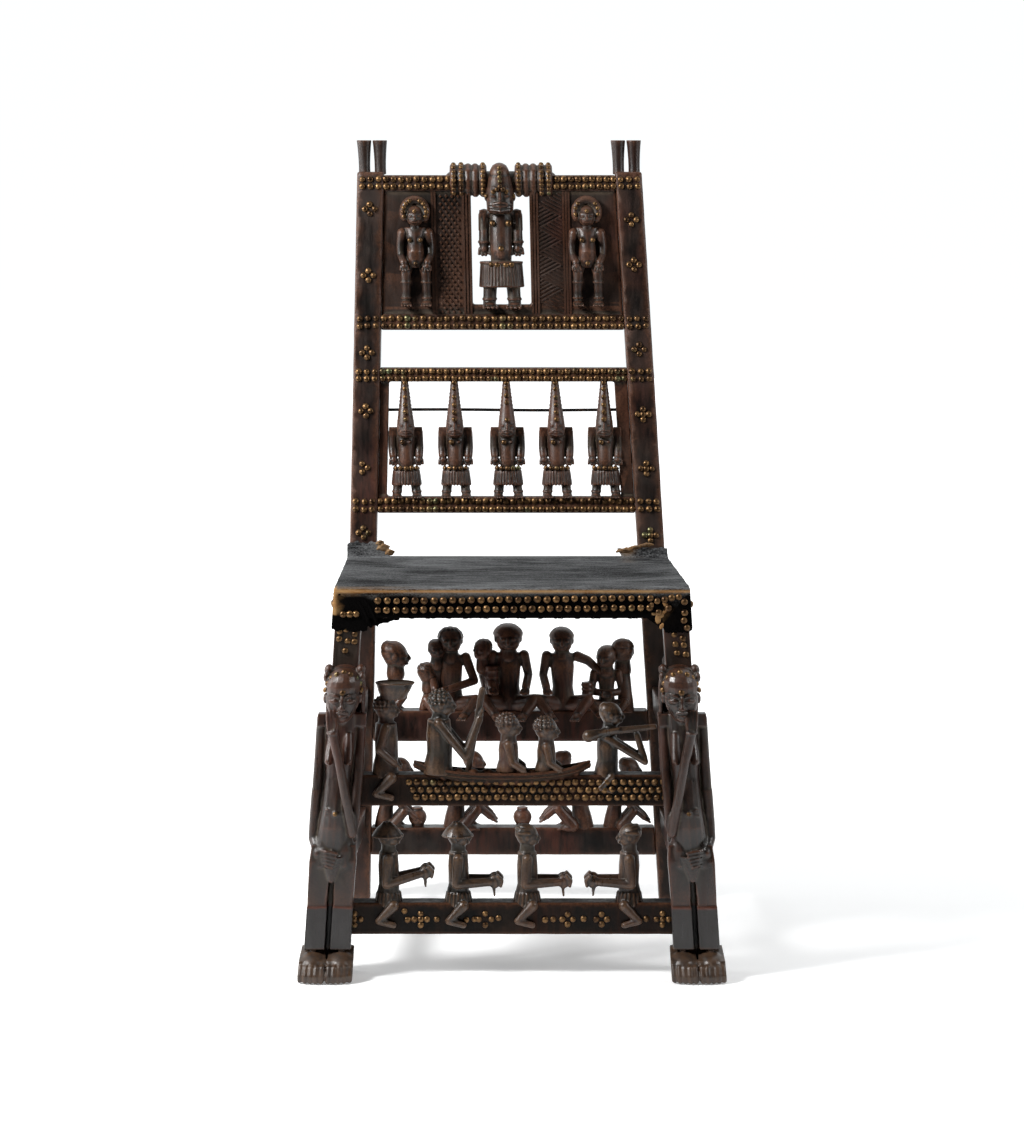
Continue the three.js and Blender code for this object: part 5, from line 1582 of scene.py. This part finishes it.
            carving.bow(8, (-8.2, 9 + lift, 0.5), (-11.6, 8 + lift, 0.5))
        angles = [math.radians(angle) for angle in range(-34, 215, 16)]
        carving.limb([(13.6 * math.cos(angle), 0.5, 17 + 14.5 * math.sin(angle), 5.4) for angle in angles])
        label = "left" if side < 0 else "right"
        carving.finish(f"attendant_{label}", Stance.BACK, self.wood, 0.8, 0.32)

    def upper_tacks(self) -> None:
        """Tacks of the upper panel, its figures and its coiffure."""
        tacks = Tacks("tacks_upper_panel", Stance.BACK, radius=4.2, seed=21)
        for z in (879.4, 870.4):
            tacks.row((-140, 2.7, z), (-64, 2.7, z), 9.2)
            tacks.row((70, 2.7, z), (140, 2.7, z), 9.2)
        for z in (709.6, 700.4):
            tacks.row((-146, 2.7, z), (146, 2.7, z), 9.6)
        for x, y, z in (
            (-12, -13.6, 55), (-5, -14.6, 54.6), (5.5, -14.6, 54.6), (12.5, -13.6, 55), (0, -16, 74.5),
            (-10, -11.8, 105), (10, -11.8, 105),
        ):
            tacks.at(x, 8 + y + 1, 720.5 + z, size=0.9)
        for x, y, z in (
            (0, -22.5, 150), (-3.6, -23, 146.5), (3.6, -23, 146.5), (-8, -21, 143.5), (8, -21, 143.5),
            (-16.5, -14, 138), (16.5, -14, 138), (0, -20.4, 156), (0, -19.2, 161.5), (0, -18.2, 167),
            (0, -16, 172.5),
        ):
            tacks.at(x, 8 + y - 0.6, 720.5 + z, size=0.72)
        for x in (-56.7, -47.3, -20.4, 23.2, 51.4, 60.2):
            for y, z in (
                (4, 862), (0.2, 867), (-2, 872.2), (-3.2, 877.6), (-2.8, 883), (-1, 888.2), (3, 893.6),
                (9, 897),
            ):
                tacks.at(x, y, z, (0, -1, (z - 877) * 0.05), 0.72)
        for side in (-1, 1):
            x, y, z = self.attendants[side]
            for across, near, up in ((-6.6, -12.8, 82), (6.6, -12.8, 82), (0, -14.8, 53.5)):
                tacks.at(x + across, y + near, z + up, size=0.66)
            tacks.at(x, y - 14.8, z + 117, (0, -1, 0.3), 0.66)
            angles = (
                -22, 0, 20, 42, 64, 116, 138, 160, 180, 202,
            ) if side < 0 else (-12, 18, 42, 138, 162, 192)
            for angle in angles:
                a = math.radians(angle)
                tacks.at(x + 14.2 * math.cos(a), y - 8, z + 116 + 15 * math.sin(a), size=0.68)
        tacks.build(self.brass)

    def post_tacks(self) -> None:
        """Diamonds and rows of tacks on the back posts."""
        tacks = Tacks("tacks_back_posts", Stance.BACK, radius=4.0, seed=23)
        for side in (-1, 1):
            for z in (879.4, 870.4, 709.6, 700.4, 645, 636.4, 487, 477.4):
                for step in (-1, 0, 1):
                    tacks.at(side * back_half(z) + step * 10, 0, z)
            levels = (843, 762, 668, 597, 528, 449) if side < 0 else (830, 775, 672, 593, 527, 446)
            for z in levels:
                middle = side * back_half(z)
                spots = CROSS if side > 0 and z in (593, 527, 446) else DIAMOND
                if side < 0 and z == 528:
                    spots = ((-3, 5), (3.5, 0), (-3, -5))
                tacks.cluster(middle, 0, z, spots, 0.97)
        tacks.build(self.brass)

    def lower_board(self) -> None:
        """The lower panel's frame: a sill, an upper rail and two slim sides."""
        carving = Carving()
        self.rail(carving, 472, 492, 5, 20)
        self.rail(carving, 632, 649, 5, 20)
        for side, wide in ((-1, 11), (1, 16)):
            low, high = ((z, panel_half(z) - wide, 6.5, 19) for z in (490, 634))
            self.cheek(carving, side, low, high)
        carving.finish("lower_panel_frame", Stance.BACK, self.wood, 1.3, 0.24, 1, node="back_panel_lower")

    def row_figure(self) -> Carving:
        """Lays one of the five figures with conical hats, its feet at the origin.

        Returns:
            The figure's lumps, ready to be fused.
        """
        carving = Carving()
        anatomy = Anatomy(carving)
        carving.limbs([(10, 0, 24, 6.2), (11.5, -2, 10, 5.8), (12.4, -3, 5, 5.6)])
        carving.limbs([(15.8, 1, 80, 5.6), (16.4, 1, 62, 5.4), (15.8, -2, 52, 5.3)])
        for side in (-1, 1):
            carving.hoop((side * 12, -2.4, 8.5), 6, 6, 0.8, 0, 12)
            anatomy.foot((side * 12.8, -1, 0), 13, 6, 7, side * -6)
            carving.slab((side * 15.6 - 4.9, -4, 76), (side * 15.6 + 4.9, 5, 86.5))
            carving.hoop((side * 16, -0.5, 57), 4.9, 4.9, 0.7, 0, 10)
            anatomy.hand((side * 15.6, -2.5, 52), (side * 14.8, -6, 41), (1, 0, 0), 5.4, 1.7)
        carving.stack([(0, 0, 17, 17.2, 10.4), (0, 0, 33, 15.8, 9.8), (0, 0, 37, 16, 10)])
        carving.fringe(30, (15.9, 9.9, 33, 1.1), (17.8, 10.9, 17, 1.2))
        carving.hoop((0, 0, 36.5), 15.8, 9.8, 1.2, 0, 20)
        rows = ((-1, 36, 9, 8), (-2.6, 46, 9.6, 9), (-2, 58, 9.6, 8.6), (-1, 70, 10.6, 7.6), (0, 85, 13, 6.4))
        carving.stack([(0, *row) for row in rows])
        carving.ball((0, -3, 49), (7.4, 8.4, 12))
        carving.ball((4.6, -8.6, 69), (1.9, 2, 1.9))
        carving.ball((-4.4, -7.8, 69), (2.4, 2, 2.4))
        self.tall_hat(carving)
        return carving

    def tall_hat(self, carving: Carving) -> None:
        """A row figure's face, and its conical hat with scored chevrons."""
        rows = (
            (-9, 75, 6.4, 6), (-9.2, 79, 10, 8.4), (-9, 86, 11.2, 9.4), (-8, 94, 10.4, 9.2),
            (-4.6, 116, 7.2, 7.2), (1, 144, 4.3, 4.8),
        )
        carving.stack([(0, *row) for row in rows])
        for lift, wide in ((0, 8.2), (2.4, 9.2)):
            carving.bow(wide, (-15, 78.5 + lift, 0.8), (-18.6, 77.4 + lift, 0.9))
        carving.bow(6.4, (-16.8, 83, 1.0), (-19, 84.4, 1.5))
        carving.bow(6.4, (-16.8, 81.6, 1.0), (-18.8, 81, 1.4))
        carving.limb([(0, -17.4, 92, 1.0), (0, -18.8, 87.2, 1.6)])
        carving.pair((5, -16.2, 89.4), (2.6, 1.5, 1.1), (0, -10, 0))
        for step in range(10):
            z = 93 + step * 4.7
            share = (z - 94) / 50
            wide, deep, y = 10.4 - 6 * share, 9.2 - 4.4 * share, -8 + 9 * share
            for turn in (-1, 1):
                inner = (1.5, y + turn * (deep - 0.2), z - 2.5, 0.7)
                bend = ((wide - 0.3) * 0.72, y + turn * (deep - 0.3) * 0.7, z, 0.7)
                carving.limbs([inner, bend, (wide - 0.5, y, z + 2, 0.6)])

    def row(self) -> None:
        """The five figures, carved once and copied, and their tacks."""
        first = self.row_figure().fuse("row_pattern", Stance.FRONT, 0.8, 0.28)
        first.data.transform(Stance.FRONT.matrix().inverted())
        tacks = Tacks("tacks_lower_panel", Stance.BACK, radius=4.1, seed=31)
        for index, x in enumerate((-122, -61, 3, 63, 123)):
            made = first.copy()
            made.data = first.data.copy()
            made.name = made.data.name = f"row_figure_{index + 1}"
            bpy.context.collection.objects.link(made)
            turn = Matrix.Rotation(math.radians((3, -2, 0, 2, -4)[index]), 4, "Z")
            place = Matrix.Translation((x, 10, 490)) @ turn
            Bench.place(made, Stance.BACK.matrix() @ place)
            Bench.dress(made, self.wood)
            spots = [(0, 0.2, 141), (0, -1.8, 133.6), (0, -5.6, 124), (0, -9, 114.6), (0, -14.6, 97.6)]
            if index in (0, 1, 3, 4):
                spots += [(0, -11.8, 106)]
            if index == 2:
                spots = [(0, 0.2, 141), (0, -1.8, 134.6), (0, -5.2, 126), (0, -8, 117.6), (0, -14.8, 96.6)]
            for across, near, up in spots:
                spot = place @ Vector((across, near - 4.2, up))
                tacks.at(*spot, size=0.78)
            for across, near in ((-13, -5.6), (-7.4, -8.2), (-0.6, -9.6), (6.2, -8.6), (12.2, -6)):
                spot = place @ Vector((across, near - 1, 37.4))
                tacks.at(*spot, facing=(across * 0.06, -1, 0), size=0.8)
            spot = place @ Vector((-4.4, -9.8, 69))
            tacks.at(*spot, size=0.82)
        bpy.data.objects.remove(first)
        for z in (645, 636.4):
            tacks.row((-149, 5, z), (149, 5, z), 8.8)
        for z in (487, 477.4):
            tacks.row((-155, 5, z), (155, 5, z), 8.6)
        tacks.build(self.brass)

    def rod(self) -> None:
        """The iron rod behind the hats, slightly bent."""
        carving = Carving()
        level, half = 597, back_half(597) - BACK_POST[0] / 2
        points = []
        for step in range(9):
            share = step / 8
            x = 5 - half + share * (2 * half - 15)
            points.append((x, 16, level + 0.5 * math.sin(share * 7), 1.9))
        carving.limb(points)
        carving.finish("back_rod_forged", Stance.BACK, self.iron, 0.55, 0.25, node="back_rod")


@dataclass
class Hide:
    """The hide over the seat: its worn front edge, ragged hem, folded and torn corners, and its tacks."""

    leather: bpy.types.Material
    brass: bpy.types.Material

    def build(self) -> None:
        """Works the hide up from its solid: finer, softer, sagging and ragged."""
        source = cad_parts["seat_hide"]
        hide = source.copy()
        hide.data = source.data.copy()
        for key in list(hide.keys()):
            del hide[key]
        bpy.context.collection.objects.link(hide)
        hide.parent = None
        hide.name = hide.data.name = "hide_cover"
        Bench.pick(hide)
        bpy.ops.object.mode_set(mode="EDIT")
        bpy.ops.mesh.select_all(action="SELECT")
        bpy.ops.mesh.remove_doubles(threshold=0.00001)
        bpy.ops.object.mode_set(mode="OBJECT")
        Bench.modify(hide, "REMESH", mode="VOXEL", voxel_size=0.0013)
        self.wrinkle(hide)
        Bench.modify(hide, "SMOOTH", factor=0.5, iterations=3)
        Bench.modify(hide, "DECIMATE", decimate_type="COLLAPSE", ratio=0.36)
        self.note_wear(hide)
        Bench.pick(hide)
        bpy.ops.object.shade_smooth()
        Bench.dress(hide, self.leather, "seat_hide")

    def wrinkle(self, hide: bpy.types.Object) -> None:
        """Sags the middle, and cuts the hem and the torn corners ragged."""
        points = Bench.read(hide.data, "co")
        x, y, z = points[:, 0], points[:, 1] + CENTRE_Y / 1000, points[:, 2]
        top = z > 0.410
        inside = np.clip(1 - (x / 0.19) ** 4, 0, 1) * np.clip(1 - ((y - 0.215) / 0.19) ** 4, 0, 1)
        points[:, 2] -= np.where(top, 0.0035 * inside, 0)
        ragged = 0.0016 * np.sin(x * 310 + 1.3) + 0.0012 * np.sin(x * 760 + 0.4) + 0.0009 * np.sin(x * 1670)
        skirt = (y < 0.001) & (z < 0.412)
        share = np.clip((0.412 - z) / 0.02, 0, 1)
        points[:, 2] += np.where(skirt, np.maximum(ragged, -0.002) * share, 0)
        sides = (np.abs(x) > 0.17) & (y > 0.03) & (z < 0.42)
        flap = (y > 0.375) & (z > 0.424)
        curl = 0.5 + 0.5 * np.sin(x * 210 + 0.6) * np.sin(x * 520 + z * 300)
        points[:, 2] -= np.where(flap, curl * np.clip((z - 0.424) / 0.02, 0, 1) * 0.006, 0)
        sway = 0.0025 * np.sin(x * 170 + z * 140) * np.clip((z - 0.424) / 0.01, 0, 1)
        points[:, 1] -= np.where(flap, sway, 0)
        torn = 0.002 * np.sin(y * 260) + 0.0013 * np.sin(y * 640 + 1)
        points[:, 2] += np.where(sides, torn * np.clip((0.425 - z) / 0.03, 0, 1), 0)
        hide.data.vertices.foreach_set("co", points.ravel())
        hide.data.update()

    def note_wear(self, hide: bpy.types.Object) -> None:
        """Notes where the hide is worn to tan, and the painted shade that darkens its front skirt below the
        top edge.
        """
        points = Bench.read(hide.data, "co")
        x, y, z = points[:, 0], points[:, 1] + CENTRE_Y / 1000, points[:, 2]
        edge = np.exp(-(((z - 0.4345) / np.where(x < -0.165, 0.0019, 0.0013)) ** 2)) * (y < 0.001)
        corner = np.exp(-(((x + 0.1955) / 0.0028) ** 2)) * (y < 0.004) * (z > 0.408)
        left_tear = np.exp(-((x + 0.157) ** 2 + (z - 0.437) ** 2) / 0.00004) * (y > 0.36)
        right_tear = np.exp(-((x - 0.141) ** 2 + (z - 0.432) ** 2) / 0.00006) * (y > 0.36)
        right_corner = np.exp(-((x - 0.172) ** 2 + (z - 0.408) ** 2) / 0.00002) * (y < 0.004)
        Bench.note(hide, "worn", edge * 1.15 + corner + left_tear + right_tear + right_corner * 0.8)
        # shade is painted shade on the front skirt below the top edge.
        Bench.note(hide, "shade", np.clip((0.4325 - z) / 0.002, 0, 1) * (y < 0.004))

    def folds(self) -> None:
        """The folded front corners and the webs under them, made near-black with painted shade, and the torn
        places' curls and flakes.
        """
        carving = Carving()
        for shift in (0, 8.5):
            x = -173 + shift
            carving.limb([
                (x, -1.5, 428.5, 1.8), (x + 8, -2, 417, 2.4), (x + 14, -2, 404, 2.2), (x + 16, -1, 396, 1.4),
            ])
        carving.ball((-190, 1, 431), (7.5, 4.6, 4.6))
        for step in range(9):
            share = step / 8
            end = (-156 + 30 * share, 3, 404 - 7.5 * (1 - share) + math.sin(step * 2.1), 2)
            carving.limb([(-156, 3, 404 - 9 * (1 - share), 2.2), end])
            level = 405 - 8 * (1 - share)
            carving.limb([(162, 3, level, 2.2), (162 - 12 * share, 3, level, 2)])
        for x in range(-182, -158, 3):
            carving.limb([(x, -1.2, 405, 1.8), (x, -1.6, 391.5 + 0.8 * math.sin(x), 1.8)])
        for x in range(170, 195, 3):
            carving.limb([(x, -1.2, 405, 1.8), (x, -1.4, 389.5 + 0.7 * math.sin(x), 1.6)])
        # Painted shade: the folds and webs are noted as fully shaded.
        self.scrap(carving, "hide_folds", "shade", 1.0, 0.9, 0.4)
        self.flakes()

    def flakes(self) -> None:
        """Pale torn places: beside the right front corner, and curled up at the rear corners."""
        carving = Carving()
        for x, z, wide, high, turn in (
            (153.5, 418.5, 3, 4.4, 20), (169, 420, 2.6, 5.4, -35), (163, 408.5, 5, 3.4, 10),
            (161, 404, 3.6, 6, 0), (156, 409.5, 2.4, 2, 0), (167, 411, 4.6, 1.8, -28), (165, 396, 2.4, 4, 25),
        ):
            carving.ball((x, -3.4, z), (wide, 0.9, high), (0, turn, 0))
        self.scrap(carving, "hide_torn_front", "worn", 0.85, 0.7, 0.5, 1)
        rear = (
            (-156, 372, 437, 7, 5), (-148, 371, 431, 5, 4), (-160, 371, 443, 4, 3), (136, 371, 433, 9, 3),
            (149, 371, 437, 7, 2.6), (163, 371, 440, 8, 2.4),
        )
        for x, y, z, wide, high in rear:
            carving.ball((x, y, z), (wide, 3.6, high), (12, (x % 7) * 6 - 18, 0))
            crest = (x, y - 3.4, z + high * 0.7, 1.7)
            carving.limb([(x - wide, y, z - high * 0.4, 1.6), crest, (x + wide, y - 1, z + high * 0.2, 1.4)])
        self.scrap(carving, "hide_torn_rear", "worn", 0.6, 0.8, 0.5, 1)

    def scrap(self, carving: Carving, name: str, mark: str, value: float, *fineness: float) -> None:
        """Fuses a small piece of hide.

        Args:
            carving: Its lumps.
            name: The piece's name.
            mark: worn, or shade for painted shade, noted all over it.
            value: How strongly.
            fineness: What fuse takes after the stance.
        """
        piece = carving.fuse(name, Stance.FRONT, *fineness)
        Bench.note(piece, mark, np.full(len(piece.data.vertices), value))
        Bench.dress(piece, self.leather)

    def tacks(self) -> None:
        """Two rows along the front skirt, and tacks at its corners and sides."""
        tacks = Tacks("tacks_hide", Stance.FRONT, radius=4.0, seed=41)
        y = -3.2
        tacks.row((-148, y, 424), (152, y, 427), 10.4)
        tacks.row((-148, y, 413.6), (152, y, 416.5), 10.0)
        for x, z in (
            (-186, 408.6), (-179, 409), (-171.5, 409.4), (160, 424), (168, 425), (176, 427), (184, 428),
            (190, 423), (190, 411), (190, 402), (193, 394), (162, 411), (172, 416),
        ):
            tacks.at(x, y, z)
        for side in (-1, 1):
            for step in range(34):
                share = step / 33
                along = 20 + share * 350
                z = 417 - share * 18
                front = side * (front_half(z) + FRONT_POST[0] / 2)
                rear = side * (back_half(z) + BACK_POST[0] / 2) + BACK_SHIFT + BACK_LEAN * z
                x = front * (1 - share) + rear * share + side * 3.1
                tacks.at(x, along, z, (side, 0, 0))
        tacks.build(self.brass)


@dataclass
class Studio:
    """The pale floor, the soft lights and the camera."""

    eye: Point = (0, -3.8756, 0.933)
    pitch: float = 7.308
    lens: float = 106.67

    def panel(self, name: str, size: float, at: Point, tilt: float) -> Recipe:
        """A wide flat panel of the stage.

        Args:
            name: The panel's name.
            size: Its side in metres.
            at: Its middle.
            tilt: Degrees that it is turned up from the level.

        Returns:
            Its material, still to be set.
        """
        bpy.ops.object.select_all(action="DESELECT")
        bpy.ops.mesh.primitive_plane_add(size=size, location=at, rotation=(math.radians(tilt), 0, 0))
        made = bpy.context.object
        made.name = made.data.name = name
        Bench.pick(made)
        bpy.ops.object.transform_apply(location=True, rotation=True)
        recipe = Recipe("pale_" + name)
        made.data.materials.append(recipe.material)
        return recipe

    def floor(self) -> None:
        """A wide pale floor that ends just in front of the picture, so that the fronts mirror none of it. It
        glows as painted light, faintly near the throne and more strongly further back.
        """
        recipe = self.panel("floor", 40, (0, 19.1, 0), 0)
        recipe.shader.inputs["Base Color"].default_value = (0.92, 0.92, 0.92, 1)
        recipe.shader.inputs["Roughness"].default_value = 0.95
        recipe.shader.inputs["Specular IOR Level"].default_value = 0.05
        recipe.shader.inputs["Emission Color"].default_value = (1, 1, 1, 1)
        # Painted light: the floor glows, its emission rising from 0.22 near the throne to 0.95 further back,
        # to lift its shadows and whiten it.
        recipe.wire("Emission Strength", recipe.span(recipe.height("Y"), 0.3, 3.2, 0.22, 0.95))

    def light(self, name: str, at: Point, aim: Point, size: float, power: float) -> None:
        """One soft square light, its size in metres and its power in watts."""
        data = bpy.data.lights.new(name, "AREA")
        data.size, data.energy = size, power
        lamp = bpy.data.objects.new(name, data)
        lamp.location = at
        lamp.rotation_mode = "QUATERNION"
        lamp.rotation_quaternion = (Vector(aim) - Vector(at)).to_track_quat("-Z", "Y")
        bpy.context.collection.objects.link(lamp)

    def backdrop(self) -> None:
        """A bright white wall far behind the throne."""
        recipe = self.panel("backdrop", 60, (0, 9, 0), 90)
        recipe.shader.inputs["Base Color"].default_value = (0, 0, 0, 1)
        recipe.shader.inputs["Emission Color"].default_value = (0.95, 0.985, 1, 1)
        recipe.shader.inputs["Emission Strength"].default_value = 1.02

    def build(self) -> None:
        """Sets the floor, the backdrop, the lights, the surroundings and the camera."""
        self.floor()
        self.backdrop()
        self.light("key", (-2.0, -1.1, 2.1), (0, 0, 0.45), 0.7, 112)
        self.light("side", (-2.2, 0.3, 0.9), (0, 0, 0.45), 0.8, 22)
        self.light("fill", (2.3, -0.8, 1.7), (0, 0, 0.45), 0.7, 26)
        self.light("top", (0.2, 1.2, 4.2), (0, 0.2, 0), 3.2, 42)
        world = bpy.data.worlds.new("studio")
        world.use_nodes = True
        world.node_tree.nodes["Background"].inputs["Color"].default_value = (0.95, 0.98, 1, 1)
        world.node_tree.nodes["Background"].inputs["Strength"].default_value = 0.05
        scene = bpy.context.scene
        scene.world = world
        scene.view_settings.view_transform = "Standard"
        data = bpy.data.cameras.new("camera")
        data.lens, data.sensor_width = self.lens, 36
        camera = bpy.data.objects.new("camera", data)
        camera.location = self.eye
        camera.rotation_euler = (math.radians(90 - self.pitch), 0, 0)
        bpy.context.collection.objects.link(camera)
        scene.camera = camera


def dress_rails(wood: bpy.types.Material) -> None:
    """Gives the seat rails, whose solids stay, their finish."""
    for name in ("front", "rear", "left", "right"):
        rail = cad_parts[f"seat_rail_{name}"]
        rail.data.materials.clear()
        rail.data.materials.append(wood)


def main() -> None:
    """Builds the throne's pieces in order."""
    logging.basicConfig(level=logging.INFO, format="%(message)s")
    dark = Patina("dark_patina").material()
    worn = Patina("dusty_patina", deep=colour(8, 7, 6), body=colour(30, 24, 19), rubbed=colour(108, 80, 58),
                  dust_share=0.3, rub_share=0.5, gloss=0.27, shine=0.42).material()
    leg_wood = LegPatina("leg_patina", body=colour(30, 22, 18), rubbed=colour(96, 58, 38),
                         dust_share=0.35, rub_share=0.42, gloss=0.26, shine=0.48).material()
    # A darker copy of the patina, for the front rung bars and the canoe.
    darker_wood = Patina("darker_patina", deep=colour(7, 6, 5), body=colour(31, 23, 18), red=colour(60, 30, 18),
                  rub_share=0.4, shine=0.1).material()
    brass, iron, leather = OldBrass().material(), Iron().material(), BlackHide().material()
    legs = FrontLegs(leg_wood, brass)
    for side in (-1, 1):
        legs.carve(side)
        legs.tacks(side)
    rungs = FrontRungs(worn, darker_wood, brass)
    rungs.masked()
    rungs.canoe()
    rungs.tacks()
    rear = BackRungs(dark)
    rear.council()
    rear.workers()
    rear.sides()
    back = Back(dark, brass, iron)
    back.posts()
    back.upper_board()
    back.upper_bands()
    back.ancestor()
    back.wings()
    for side in (-1, 1):
        back.attendant(side)
    back.upper_tacks()
    back.lower_board()
    back.row()
    back.post_tacks()
    back.rod()
    hide = Hide(leather, brass)
    hide.build()
    hide.folds()
    hide.tacks()
    dress_rails(dark)
    Studio().build()


if __name__ == "__main__":
    main()
